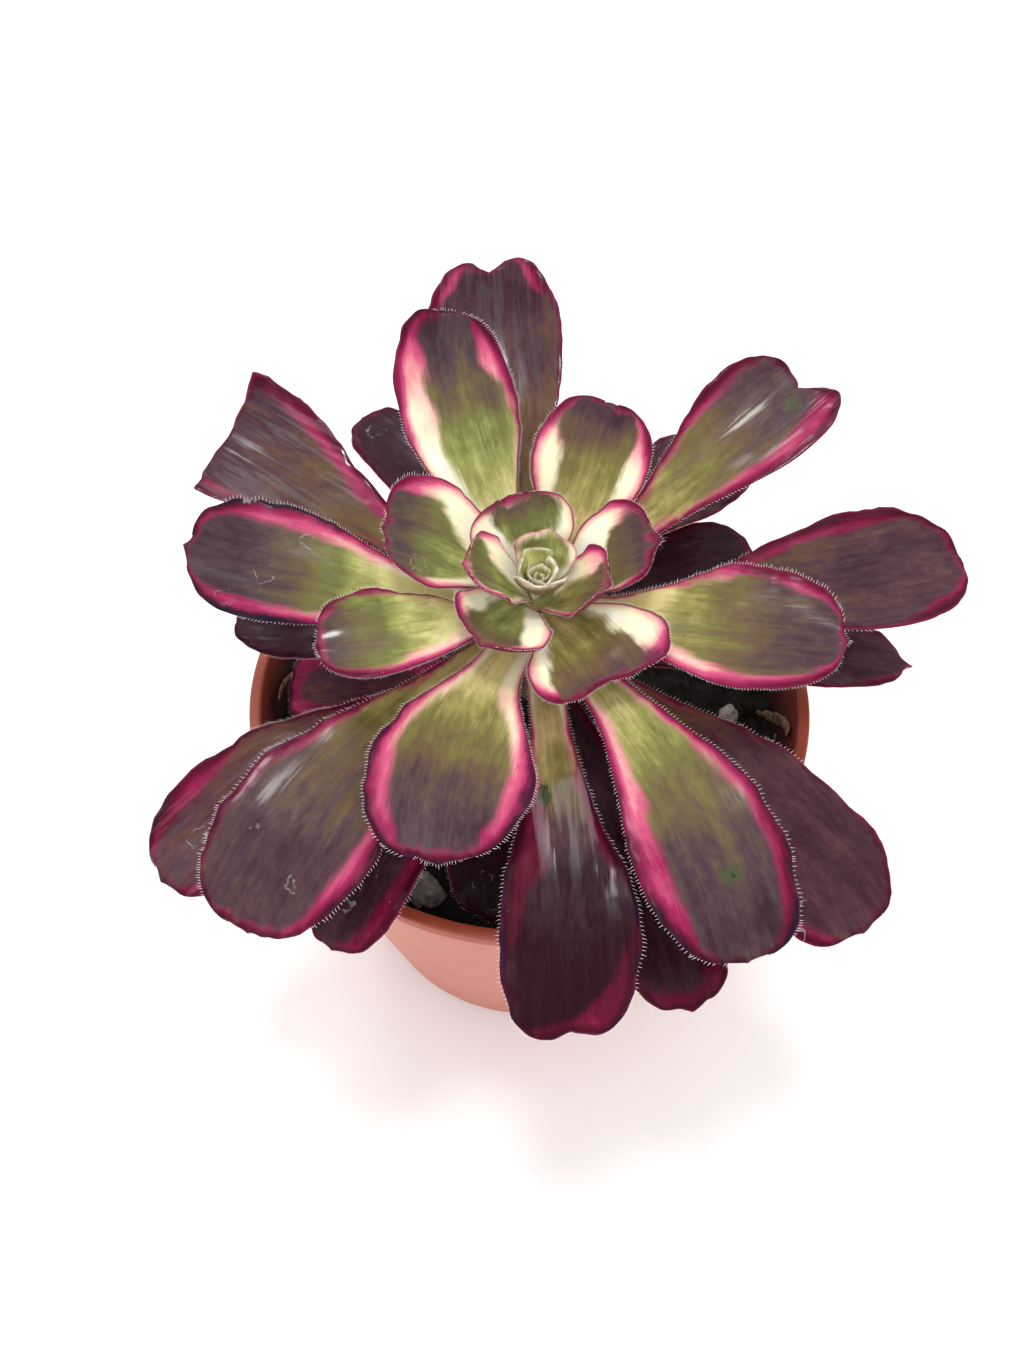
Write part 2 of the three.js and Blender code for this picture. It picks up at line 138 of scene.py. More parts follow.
LEAF_COATS = [
    dict(left=(0.3, 1.2), right=(0.3, 1.6), tip=0.6, flush=(0.2, -0.3, 0.9, -0.05),
         dusk=(0.1, -0.2, 0.6, 0, 0.9, 0.2), line=0.6, warm=0, scorch=0, marks=0),
    dict(left=(0.3, 1.2), right=(0.2, 4.4, 0.6, 4, 0.9, 1.2), tip=0.6, flush=(0.2, -0.25, 0.9, 0.15),
         dusk=(0.1, -0.1, 0.5, 0.1, 0.9, 0.5), warm=0, scorch=0, marks=0),
    dict(left=(0.2, 4.5, 0.7, 6, 0.95, 1.6), right=(0.3, 1.2), flush=(0.2, -0.1, 0.9, 0.3),
         dusk=(0.1, -0.05, 0.5, 0.25, 0.9, 0.65), line=1.2, warm=0.2, scorch=0, marks=0),
    dict(left=(0.1, 7, 0.6, 8, 0.85, 4, 0.95, 1.5), right=(0.1, 5, 0.6, 3, 0.9, 1), tip=0.5,
         flush=(0.3, -0.3, 0.8, -0.2, 0.97, 0.3), dusk=(0.3, -0.05, 0.6, 0.15, 0.95, 0.6), line=1.1,
         warm=0, scorch=0, marks=0),
    dict(left=(0.1, 4, 0.6, 5, 0.9, 2.5), right=(0.2, 1, 0.45, 3, 0.6, 5, 0.85, 3, 0.95, 1.2), tip=0.8,
         flush=(0.3, -0.25, 0.7, -0.1, 0.95, 0.35), dusk=(0.2, -0.05, 0.6, 0.2, 0.9, 0.55), line=1.15,
         warm=0, scorch=0),
    dict(left=(0.1, 7, 0.5, 8, 0.7, 4, 0.95, 1.4), right=(0.1, 4, 0.6, 1.6),
         flush=(0.3, -0.3, 0.6, -0.15, 0.9, 0.45), dusk=(0.15, 0, 0.45, 0.2, 0.75, 0.55, 0.95, 0.8),
         line=1.25, warm=0.2, marks=0),
    dict(left=(0.1, 4.5, 0.5, 2.4, 0.9, 1), right=(0.1, 8, 0.5, 7.5, 0.8, 3.6, 0.95, 1.4), tip=0.8,
         flush=(0.3, -0.25, 0.6, 0, 0.95, 0.45), dusk=(0.3, -0.2, 0.5, 0.1, 0.7, 0.35, 0.9, 0.75),
         line=1.2, warm=0, scorch=0, marks=1),
    dict(left=(0.2, 0.8, 0.35, 2.5, 0.55, 5.5, 0.75, 5, 1, 1.6),
         right=(0.2, 1, 0.4, 3, 0.6, 4.4, 0.85, 3, 1, 1.5), tip=0.8,
         flush=(0.3, -0.3, 0.7, -0.1, 1, 0.4), dusk=(0.2, -0.05, 0.5, 0.15, 0.75, 0.45, 0.95, 0.7),
         line=1.15, marks=0.3),
    dict(left=(0.2, 1, 0.4, 3, 0.65, 5, 0.85, 2, 1, 0.6),
         right=(0.2, 1, 0.4, 3, 0.7, 5.5, 0.9, 3, 1, 0.8), tip=0.5,
         flush=(0.3, -0.2, 0.6, -0.05, 0.9, 0.45),
         dusk=(0.3, -0.35, 0.48, 0.05, 0.65, 0.3, 0.8, 0.6, 0.95, 0.9), line=1.25, warm=0.25, marks=0),
    dict(left=(0.2, 4, 0.5, 3.4, 0.9, 1.4), right=(0.3, 0.8, 0.7, 1.4, 0.95, 1.5),
         flush=(0.2, -0.05, 0.5, 0.2, 0.9, 0.55), dusk=(0.35, -0.35, 0.55, -0.05, 0.75, 0.35, 1, 0.8),
         warm=0.05, gloss=(0.3, 0.1, 0.6, 0.25), marks=0.8),
    dict(left=(0.2, 0.6, 0.45, 0.8, 0.58, 2.4, 0.7, 1.2, 0.85, 3.4, 0.97, 2),
         right=(0.15, 1.2, 0.4, 3.6, 0.7, 3.4, 0.85, 3.4, 0.97, 2), tip=1.2,
         flush=(0.2, 0, 0.5, 0.2, 0.7, 0.45, 0.95, 0.62),
         dusk=(0.32, -0.35, 0.46, 0.12, 0.6, 0.45, 0.8, 0.75, 1, 0.85), warm=0.2, marks=0.1),
    dict(left=(0.1, 2.5, 0.3, 3.5, 0.5, 5.5, 0.65, 7, 0.8, 6.5, 0.93, 2.5),
         right=(0.2, 0.6, 0.55, 0.8, 0.68, 2, 0.8, 5, 0.9, 3.5, 1, 1),
         flush=(0.2, -0.3, 0.45, -0.2, 0.62, 0.12, 0.78, 0.4, 1, 0.78),
         dusk=(0.25, -0.4, 0.4, 0.05, 0.58, 0.18, 0.68, 0.5, 0.85, 0.85, 1, 1), line=1.2, warm=0.05,
         scorch=0.35, marks=0),
    dict(left=(0.1, 2.5, 0.4, 3.5, 0.7, 5, 0.9, 4.5, 1, 2),
         right=(0.2, 0.8, 0.4, 2.5, 0.7, 4.5, 0.9, 4, 1, 1.5), tip=1.6,
         flush=(0.1, -0.2, 0.35, 0.1, 0.7, 0.4, 0.95, 0.6),
         dusk=(0.3, -0.25, 0.42, 0.12, 0.57, 0.38, 0.75, 0.7, 0.9, 0.9), warm=0.2, gloss=(0.3, 0),
         scorch=0.8),
    dict(left=(0.2, 0.8, 0.5, 1.5, 0.7, 2.6, 0.9, 2, 1, 0.6),
         right=(0.2, 0.8, 0.5, 1.5, 0.65, 3.5, 0.85, 5.5, 1, 5), tip=1.2,
         flush=(0.2, 0.25, 0.6, 0.5, 0.8, 0.6, 1, 0.72),
         dusk=(0.28, -0.35, 0.42, 0.08, 0.6, 0.42, 0.8, 0.72, 1, 0.85), warm=0.25,
         gloss=(0.5, 0.1, 0.8, 0.2), scorch=0.2, marks=0, scar=(0.9, -0.15, 2)),
    dict(left=(0.2, 0.8, 0.4, 2.5, 0.8, 3.5, 1, 2), right=(0.2, 0.8, 0.45, 3, 0.75, 4.5, 0.95, 2.5),
         tip=1.2, flush=(0.25, -0.1, 0.5, 0.3, 0.8, 0.55, 0.95, 0.7),
         dusk=(0.33, -0.45, 0.46, -0.1, 0.56, 0.35, 0.7, 0.65, 0.85, 0.9), warm=0.05, gloss=(0.5, 0.05),
         scorch=1, marks=0.3),
    dict(left=(0.1, 1, 0.4, 1.5, 0.6, 2.8, 0.9, 3, 1, 1),
         right=(0.1, 1, 0.35, 3, 0.6, 5, 0.85, 5, 1, 2),
         flush=(0.2, 0.2, 0.5, 0.38, 0.75, 0.58, 1, 0.8),
         dusk=(0.3, -0.02, 0.42, 0.17, 0.57, 0.45, 0.75, 0.76, 0.95, 0.92), warm=0.12,
         gloss=(0.5, 0.05), scorch=0.9, marks=0.1, scar=(0.8, 0.15, 2.1)),
    dict(left=(0.5, 0.6, 0.8, 1.5, 0.93, 4, 1, 2.5), right=(0.3, 0.7, 0.8, 1, 0.92, 3.5, 1, 2), tip=0.8,
         flush=(0.4, 0.6, 0.95, 0.62), dusk=(0.1, 0.1, 0.3, 0.35, 0.5, 0.55, 0.7, 0.8, 0.9, 1),
         warm=0.45, gloss=(0.5, 0.3), scorch=0.2, marks=0),
    dict(left=(0.3, 0.8, 0.55, 3, 0.8, 4.5, 1, 2.5), right=(0.25, 0.8, 0.5, 2, 0.8, 1.6, 1, 1), tip=1.6,
         flush=(0.3, 0.45, 0.7, 0.5, 1, 0.66),
         dusk=(0.27, -0.1, 0.37, 0.14, 0.48, 0.45, 0.6, 0.68, 0.8, 0.86), warm=0.25,
         gloss=(0.3, 0.02, 0.5, 0.08, 0.9, 0.12), scorch=0.7, marks=0.4),
    dict(left=(0.3, 0.8, 0.5, 2.5, 0.75, 4, 0.9, 2), right=(0.4, 0.6, 0.75, 1, 0.9, 3), tip=1.5,
         flush=(0.3, 0.6, 0.9, 0.75), dusk=(0.1, 0.2, 0.4, 0.45, 0.55, 0.7, 0.8, 0.88), warm=0.4,
         marks=0.1),
    dict(left=(0.4, 0.8, 0.7, 1, 0.9, 4), right=(0.1, 1, 0.4, 3, 0.8, 4.5, 1, 2.5), tip=0.8,
         flush=(0.1, 0.4, 0.5, 0.6, 0.9, 0.72), dusk=(0.1, 0.2, 0.4, 0.4, 0.7, 0.68, 1, 0.9), warm=0.35,
         gloss=(0.5, 0, 0.64, 0.55, 0.88, 0.6, 1, 0.1), scorch=0.15, marks=0.1),
    dict(left=(0.2, 0.8, 0.4, 1.5, 0.55, 3, 0.74, 1.6, 0.86, 3.5, 0.94, 7, 1, 9),
         right=(0.3, 1, 0.42, 3.5, 0.58, 7, 0.7, 4.5, 0.82, 1.5, 1, 1), tip=2,
         flush=(0.15, -0.1, 0.25, 0.2, 0.35, 0.6, 0.5, 0.84, 0.7, 1, 1, 0.93),
         dusk=(0.24, -0.16, 0.33, 0.1, 0.42, 0.42, 0.52, 0.8, 0.62, 1.2, 1, 1.55), warm=0.36,
         gloss=(0.2, 0.1, 0.38, 1, 0.52, 1, 0.64, 0.08, 1, 0.03), scorch=0.9, scar=(0.41, -0.4, 2)),
    dict(dusk=(0.3, 0.7, 0.8, 0.88)),
    dict(dusk=(0.3, 0.75, 0.8, 1), scorch=0.7),
    dict(left=(0.3, 0.5, 0.8, 0.8), right=(0.1, 1, 0.5, 1, 0.8, 1.2, 0.9, 3),
         flush=(0.2, 0.45, 0.9, 0.78), dusk=(0.1, 0.3, 0.3, 0.5, 0.5, 0.78, 0.8, 0.92), warm=0.6,
         marks=0.6),
    dict(left=(0.2, 1.5, 0.6, 1.5), dusk=(0.2, 0.85, 0.6, 1.05)),
    dict(left=(0.4, 2, 0.6, 4, 0.95, 3.5), tip=1.4, flush=(0.4, 0.75, 0.9, 0.82),
         dusk=(0.2, 0.75, 0.7, 0.97), marks=1),
    dict(right=(0.3, 1, 0.8, 1.8), tip=1.5, dusk=(0.2, 0.85, 0.6, 1.05)),
    dict(left=(0.6, 1, 0.85, 4, 1, 4), right=(0.5, 0.8, 1, 2), tip=3, flush=(0.4, 0.8, 0.9, 0.92),
         dusk=(0.2, 0.9, 0.8, 1.15), scorch=0.4),
    dict(left=(0.4, 1, 0.9, 3), right=(0.3, 0.8, 0.6, 1, 0.8, 4.5, 0.95, 3),
         flush=(0.3, 0.55, 0.7, 0.66, 1, 0.8), dusk=(0.1, 0.45, 0.5, 0.66, 0.9, 0.78), warm=0.6,
         gloss=(0.5, 0.3), scorch=0.6, marks=0.4),
    dict(flush=(0.2, 0.7), dusk=(0.2, 0.75, 0.8, 0.9)),
    dict(flush=(0.2, 0.9), dusk=(0.2, 1, 0.8, 1.2), marks=0.6),
    dict(left=(0.2, 6), right=(0.2, 6), tip=4, flush=(0.2, 0.62, 0.9, 0.7), dusk=(0.2, 0.7, 0.8, 0.85),
         warm=0.7),
]

def lerp(a, b, t):
    return a + (b - a) * t


def clamp(value, low=0.0, high=1.0):
    return max(low, min(high, value))


def smooth(value, low, high):
    """The rise from 0 at `low` to 1 at `high` that eases in and out."""
    t = clamp((value - low) / (high - low))
    return t * t * (3 - 2 * t)


def along_stations(stations, u):
    """The value at a share `u` of the length, from shares in order, each followed by its value."""
    pairs = list(zip(stations[::2], stations[1::2]))
    if u < pairs[0][0]:
        return pairs[0][1]
    for (low, before), (high, after) in zip(pairs, pairs[1:]):
        if u < high:
            return lerp(before, after, smooth(u, low, high))
    return pairs[-1][1]


def azimuth_of(age):
    return FIRST_AZIMUTH + (age - 1) * GOLDEN_ANGLE


def root_depth(age):
    return ROOT_DEPTH + ROOT_STEP * age + ROOT_SPREAD * age * age


def stem_radius(down):
    return lerp(STEM_TIP_RADIUS, STEM_RADIUS, 1 - math.exp(-down / STEM_TAPER))


def rosette_matrix():
    """From the rosette's own frame in mm to the row's frame in metres."""
    lean = Matrix.Rotation(math.radians(LEAN), 4, "X")
    return Matrix.Scale(MM, 4) @ Matrix.Translation(ROSETTE_TIP) @ lean


class Blade:
    """The middle surface of one leaf: root at the origin, midrib setting off along +X, in mm."""

    STATIONS = 120
    SEAT = 0.3  # the root's distance from the stem

    def __init__(self, shape, coat):
        self.shape = {**USUAL_LEAF, **dict(zip(SHAPE_KEYS, shape)), **shape[len(SHAPE_KEYS)]}
        self.coat = {**USUAL_COAT, **coat}
        self.length = self.shape["length"]
        self.stations = self._midrib()

    def _midrib(self):
        leaf = self.shape
        place = Vector()
        stations = []
        for k in range(self.STATIONS + 1):
            u = k / self.STATIONS
            climb = math.radians(leaf["rise"] - leaf["droop"] * u**1.4)
            heading = math.radians(leaf["sweep"] * u**1.5)
            along = Vector((math.cos(heading), math.sin(heading), math.tan(climb))).normalized()
            side = Vector((-math.sin(heading), math.cos(heading), 0))
            stations.append((place.copy(), along, side, along.cross(side)))
            place += along * (self.length / self.STATIONS)
        return stations

    def past_widest(self, u):
        return clamp((u - self.shape["widest"]) / (1 - self.shape["widest"]))

    def half_width(self, u):
        leaf = self.shape
        flare = math.sin(math.pi / 2 * min(1, max(0, u) / leaf["widest"])) ** leaf["flare"]
        rounding = math.sqrt(max(0, 1 - self.past_widest(u) ** 2.2))
        return leaf["width"] / 2 * lerp(leaf["waist"], 1, flare) * lerp(leaf["end"], 1, rounding)

    def at(self, u, s):
        """Place, upward normal, sideways and lengthwise directions at (u, s)."""
        leaf = self.shape
        reach = clamp(u) * self.STATIONS
        k = min(int(reach), self.STATIONS - 1)
        place, along, side, up = (
            a.lerp(b, reach - k) for a, b in zip(self.stations[k], self.stations[k + 1])
        )
        half = self.half_width(u)
        cup = math.radians(lerp(leaf["root_cup"], leaf["cup"], smooth(u, 0, leaf["widest"]))) + 1e-4
        sign = (s > 0) - (s < 0)
        swing = leaf["wave"] * math.sin(2 * math.pi * leaf["waves"] * u + leaf["age"] + 2 * sign)
        lift = half * (1 - math.cos(cup * s)) / cup + swing * s * s * smooth(u, 0.2, 0.7)
        past = self.past_widest(u)
        ahead = leaf["point"] * (1 - abs(s)) ** 2 * past**3
        ahead += leaf["skew"] * past * s * half / (leaf["width"] / 2)
        ahead += min(u, 0) * self.length
        place = place + side * (half * math.sin(cup * s) / cup) + up * lift + along * ahead
        out = up * math.cos(cup * s) - side * math.sin(cup * s)
        across = side * math.cos(cup * s) + up * math.sin(cup * s)
        return place, out, across, along

    def thickness(self, u, s):
        middle = min(2.6, 1 + self.length / 40)
        ridge = lerp(middle * 1.2, middle * 0.6, clamp(u))
        return lerp(ridge, self.shape["edge"], abs(s) ** 1.5)

    def matrix(self):
        """From the blade's frame to the rosette's: on the stem, at its azimuth."""
        down = root_depth(self.shape["age"])
        azimuth = math.radians(azimuth_of(self.shape["age"]) + self.shape["turn"])
        seat = Matrix.Translation((stem_radius(down) + self.SEAT, 0, 0))
        return Matrix.Translation((0, 0, -down)) @ Matrix.Rotation(azimuth, 4, "Z") @ seat


def leaf_blades():
    return [Blade(shape, coat) for shape, coat in zip(LEAF_SHAPES, LEAF_COATS)]


# ------------------------------------------------------------------ settings


def colour_setting(name, description, colour):
    return FloatVectorProperty(
        name=name, description=description, subtype="COLOR", size=4, default=(*colour, 1)
    )


class AeoniumPlantSettings(bpy.types.PropertyGroup):
    rows: IntProperty(name="Rows", description="Faces along a large leaf", default=46, min=8)
    around: IntProperty(name="Around", description="Faces round a leaf's section", default=40, min=8)
    hair_length: FloatProperty(
        name="Hair length", description="Length of a margin hair", default=0.00078, unit="LENGTH"
    )
    hair_gap: FloatProperty(
        name="Hair spacing", description="Space between margin hairs", default=0.0004, unit="LENGTH"
    )


class AeoniumPotSettings(bpy.types.PropertyGroup):
    plastic: colour_setting("Plastic", "Colour of the pot", (0.34, 0.056, 0.025))
    pale_wall: colour_setting("Haze", "Colour of the chalky haze on its wall", (0.53, 0.156, 0.102))
    crumbs: IntProperty(name="Crumbs", description="Loose crumbs on the soil", default=900, min=0)


class AeoniumStageSettings(bpy.types.PropertyGroup):
    camera_place: FloatVectorProperty(
        name="Camera place", description="Where the camera stands", subtype="TRANSLATION",
        default=(-0.0037, -0.1342, 0.2669),
    )
    elevation: FloatProperty(
        name="Elevation", description="Angle by which the camera looks down", subtype="ANGLE",
        default=math.radians(53),
    )
    lens: FloatProperty(
        name="Lens", description="Focal length of the camera", default=27.03, unit="CAMERA"
    )
    fill: FloatProperty(
        name="Fill light", description="Strength of the even light from all round", default=1.2
    )
    floor: colour_setting("Floor", "Colour of the floor", (0.94, 0.94, 0.94))


# ------------------------------------------------------------------ mesh helpers


def mesh_from(name, bm):
    """A mesh with all that the bmesh holds; the bmesh is freed."""
    mesh = bpy.data.meshes.new(name)
    bm.to_mesh(mesh)
    bm.free()
    return mesh


def gathered(parts):
    """One bmesh with all the given ones in it; they are freed."""
    whole = bmesh.new()
    for part in parts:
        mesh = mesh_from("part", part)
        whole.from_mesh(mesh)
        bpy.data.meshes.remove(mesh)
    return whole


def placed(name, data):
    """A new object in the scene."""
    made = bpy.data.objects.new(name, data)
    bpy.context.scene.collection.objects.link(made)
    return made


def finished(name, bm, material, replaced=(), smooth_faces=True):
    """Turns a bmesh, already in its place in metres, into a piece of the object."""
    mesh = mesh_from(name, bm)
    if smooth_faces:
        mesh.shade_smooth()
    mesh.materials.append(material)
    piece = placed(name, mesh)
    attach(piece, "root")
    if replaced:
        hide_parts(*replaced)
    return piece


def spun(profile, steps):
    """A closed skin from an outline of (radius, height) pairs spun round Z, in mm."""
    bm = bmesh.new()
    verts = [bm.verts.new((radius, 0, height)) for radius, height in profile]
    edges = [bm.edges.new(pair) for pair in zip(verts, verts[1:])]
    bmesh.ops.spin(
        bm, geom=verts + edges, cent=(0, 0, 0), axis=(0, 0, 1), dvec=(0, 0, 0),
        angle=math.tau, steps=steps, use_merge=True,
    )
    bmesh.ops.remove_doubles(bm, verts=bm.verts, dist=1e-4)
    bmesh.ops.recalc_face_normals(bm, faces=bm.faces)
    return bm


# ------------------------------------------------------------------ node helpers


def add_node(tree, kind, inputs=None, **settings):
    """A node with its settings; an input is either a value or a socket to link."""
    made = tree.nodes.new(kind)
    for key, value in settings.items():
        setattr(made, key, value)
    for key, value in (inputs or {}).items():
        if isinstance(value, bpy.types.NodeSocket):
            tree.links.new(value, made.inputs[key])
        else:
            made.inputs[key].default_value = value
    return made


def feed(tree, node, **values):
    """Links values to the inputs of a node that is already there."""
    for key, value in values.items():
        tree.links.new(value, node.inputs[key.replace("_", " ")])


def calc(tree, operation, a, b=0.0, c=0.0):
    return add_node(tree, "ShaderNodeMath", {0: a, 1: b, 2: c}, operation=operation).outputs[0]


def product(tree, first, *others):
    for other in others:
        first = calc(tree, "MULTIPLY", first, other)
    return first


def weighted(tree, start, *parts):
    """A value with (part, weight) pairs added to it."""
    for part, weight in parts:
        start = calc(tree, "MULTIPLY_ADD", part, weight, start)
    return start


def ramp_between(tree, value, low, high, to_low=0.0, to_high=1.0, kind="SMOOTHSTEP"):
    """A value's place between two limits, moved to two others, as a smooth step unless told."""
    inputs = {0: value, 1: low, 2: high, 3: to_low, 4: to_high}
    return add_node(tree, "ShaderNodeMapRange", inputs, interpolation_type=kind).outputs[0]


def blend_colours(tree, share, first, second, blend_type="MIX"):
    inputs = {0: share, 6: first, 7: second}
    made = add_node(tree, "ShaderNodeMix", inputs, data_type="RGBA", blend_type=blend_type)
    return made.outputs[2]


def overlaid(tree, colour, *layers):
    """A colour under (share, colour) layers, the last on top."""
    for share, layer in layers:
        colour = blend_colours(tree, share, colour, layer)
    return colour


def colour_ramp(tree, value, stops):
    """The colour of a value on a scale whose stops are given in the value's own units."""
    low, high = stops[0][0], stops[-1][0]
    share = ramp_between(tree, value, low, high, kind="LINEAR")
    made = add_node(tree, "ShaderNodeValToRGB", {0: share})
    ramp = made.color_ramp
    ramp.interpolation = "LINEAR"
    while len(ramp.elements) < len(stops):
        ramp.elements.new(0.5)
    for element, (at, colour) in zip(ramp.elements, stops):
        element.position = (at - low) / (high - low)
        element.color = colour
    return made.outputs[0]


def noise_of(tree, vector, scale, detail=3.0, roughness=0.55, distortion=0.0):
    inputs = {"Vector": vector, "Scale": scale, "Detail": detail, "Roughness": roughness,
              "Distortion": distortion}
    return add_node(tree, "ShaderNodeTexNoise", inputs).outputs["Fac"]


def streaks_of(tree, vector, scale, *settings):
    """A noise drawn out along the axes on which it is scaled least."""
    drawn = add_node(tree, "ShaderNodeMapping", {"Vector": vector, "Scale": scale}).outputs[0]
    return noise_of(tree, drawn, 1, *settings)


def object_place(tree):
    return add_node(tree, "ShaderNodeTexCoord").outputs["Object"]


def attribute(tree, name, output="Fac"):
    made = add_node(tree, "ShaderNodeAttribute", attribute_name=name, attribute_type="GEOMETRY")
    return made.outputs[output]


def bump(tree, height, depth):
    """A normal from a height and how deep it goes, in mm."""
    inputs = {"Height": height, "Distance": depth * MM, "Strength": 1.0}
    return add_node(tree, "ShaderNodeBump", inputs).outputs[0]


def new_material(name, **principled):
    """A material with a Principled BSDF whose plain sockets are set here."""
    material = bpy.data.materials.new(name)
    material.use_nodes = True
    shader = material.node_tree.nodes["Principled BSDF"]
    for key, value in principled.items():
        shader.inputs[key.replace("_", " ")].default_value = value
    return material, material.node_tree, shader


def node_group(name, inputs, outputs):
    """An empty shader group: returns it with its input and output nodes."""
    group = bpy.data.node_groups.new(name, "ShaderNodeTree")
    for in_out, sockets in (("INPUT", inputs), ("OUTPUT", outputs)):
        for label, kind in sockets.items():
            group.interface.new_socket(label, in_out=in_out, socket_type=f"NodeSocket{kind}")
    return group, group.nodes.new("NodeGroupInput"), group.nodes.new("NodeGroupOutput")


# ------------------------------------------------------------------ the leaves' finish


# Each colour with the flush or the dusk at which it stands.
FLUSHES = [
    (-0.3, (1, 0.98, 0.82, 1)),
    (0, (0.96, 0.88, 0.58, 1)),
    (0.22, (0.9, 0.47, 0.42, 1)),
    (0.42, (0.6, 0.1, 0.2, 1)),
    (0.64, (0.3, 0.018, 0.085, 1)),
    (0.86, (0.12, 0.005, 0.026, 1)),
    (1.1, (0.05, 0.003, 0.012, 1)),
]
DUSKS = [
    (-0.3, (0.72, 0.71, 0.3, 1)),
    (0, (0.345, 0.36, 0.113, 1)),
    (0.25, (0.17, 0.184, 0.052, 1)),
    (0.5, (0.13, 0.101, 0.048, 1)),
    (0.8, (0.07, 0.044, 0.05, 1)),
    (1, (0.04, 0.021, 0.029, 1)),
    (1.3, (0.02, 0.004, 0.009, 1)),
]
COAT_ATTRIBUTES = (
    "Band", "Rim", "Flush", "Dusk", "Scorch", "Line", "Warm", "Marks", "Gloss", "Scar", "Upper"
)
RIM_SCALE, RIM_LEAST = 13, 1.5  # the half width in mm at which the rim counts in mm, and the least
OUT_OF_BAND = -6  # as far from the band as is told apart, in mm
WARM_TINT = (1.35, 0.56, 0.8, 1)
SCORCHED = (0.012, 0.007, 0.02, 1)
MARGIN_LINE = (0.19, 0.008, 0.05, 1)
SCAR_RING = (0.064, 0.072, 0.035, 1)
SCAR_MIDDLE = (0.026, 0.038, 0.018, 1)
UNDERSIDE = (0.16, 0.035, 0.055, 1)
DRIED_DROP = (0.5, 0.46, 0.46, 1)

# The noises along a blade: how dense each is lengthwise, crosswise and from leaf to leaf, and its
# detail.
BLADE_NOISES = {
    "broad": ((0.045, 0.4, 1), 3),
    "fine": ((0.07, 1.5, 1), 3),
    "thread": ((0.16, 5, 1), 2),
    "patch": ((0.12, 0.2, 1), 3),
    "mottle": ((0.5, 0.9, 1), 3),
}

# Each slot's material, the depth of its relief in mm, how much light it scatters inside, how far
# that light goes by colour, and that distance in metres.
LEAF_FINISHES = {
    "inner_leaf": ("young_leaf", 0.12, 0.12, (1.0, 0.35, 0.2), 0.0012),
    "middle_leaf": ("grown_leaf", 0.2, 0.05, (1.0, 0.35, 0.2), 0.0012),
    "outer_leaf": ("old_leaf", 0.22, 0.02, (1.0, 0.35, 0.2), 0.0012),
    "bud": ("bud_leaf", 0.12, 0.2, (1.0, 0.6, 0.3), 0.001),
}


def scar_share(blade, u, s):
    """How near (u, s) lies to the blade's scar, from 0 well away to 1 at its middle."""
    if blade.coat["scar"] is None:
        return 0
    at_u, at_s, radius = blade.coat["scar"]
    away = math.hypot((u - at_u) * blade.length, (s - at_s) * blade.half_width(u))
    return clamp(1 - away / (2 * radius))


def coat_values(blade, u, s, theta):
    """What the blade's material needs to know there, in the order of COAT_ATTRIBUTES."""
    coat = blade.coat
    u = clamp(u)
    half = blade.half_width(u)
    left, right, to_end = half * (1 - s), half * (1 + s), (1 - u) * blade.length
    into_band = max(
        along_stations(coat["left"], u) - left,
        along_stations(coat["right"], u) - right,
        coat["tip"] - to_end,
        OUT_OF_BAND,
    )
    return (
        into_band,
        min(left, right, to_end) * RIM_SCALE / max(half, RIM_LEAST),
        along_stations(coat["flush"], u),
        along_stations(coat["dusk"], u),
        coat["scorch"] * smooth(u, 0.3, 0.7),
        coat["line"],
        coat["warm"],
        coat["marks"],
        along_stations(coat["gloss"], u),
        scar_share(blade, u, s),
        clamp(0.5 + 3 * math.sin(theta)),
    )


def band_look(group, have, noises):
    """How much of the pale band shows, and its colour."""
    broad, fine, thread, patch, mottle = noises
    # The band's inner border is soft and uneven.
    border = weighted(group, have["Band"], (patch, 4.0), (broad, 2.5), (fine, 1.5), (mottle, 1.0))
    near_band = ramp_between(group, have["Band"], -4, -1.2)
    share = product(group, ramp_between(group, border, -0.9, 1.1), near_band)
    # The band is palest along that border and deepest at the rim.
    near_rim = product(group, ramp_between(group, have["Rim"], 0.2, 3.2, 1, 0), have["Line"])
    flush = weighted(
        group, have["Flush"], (patch, 0.5), (thread, 0.16), (mottle, 0.14), (near_rim, 0.4),
        (ramp_between(group, border, 0.5, 4, 0, -0.05), 1),
    )
    return share, colour_ramp(group, flush, FLUSHES)


def core_look(group, have, noises):
    """The colour of the middle, from green to purple, and how reddish it is."""
    broad, fine, thread, patch, mottle = noises
    dusk = weighted(
        group, have["Dusk"],
        (broad, 0.5), (patch, 0.55), (fine, 0.24), (thread, 0.2), (mottle, 0.34),
    )
    plain = colour_ramp(group, dusk, DUSKS)
    warmed = blend_colours(group, 1.0, plain, WARM_TINT, "MULTIPLY")
    return blend_colours(group, have["Warm"], plain, warmed)


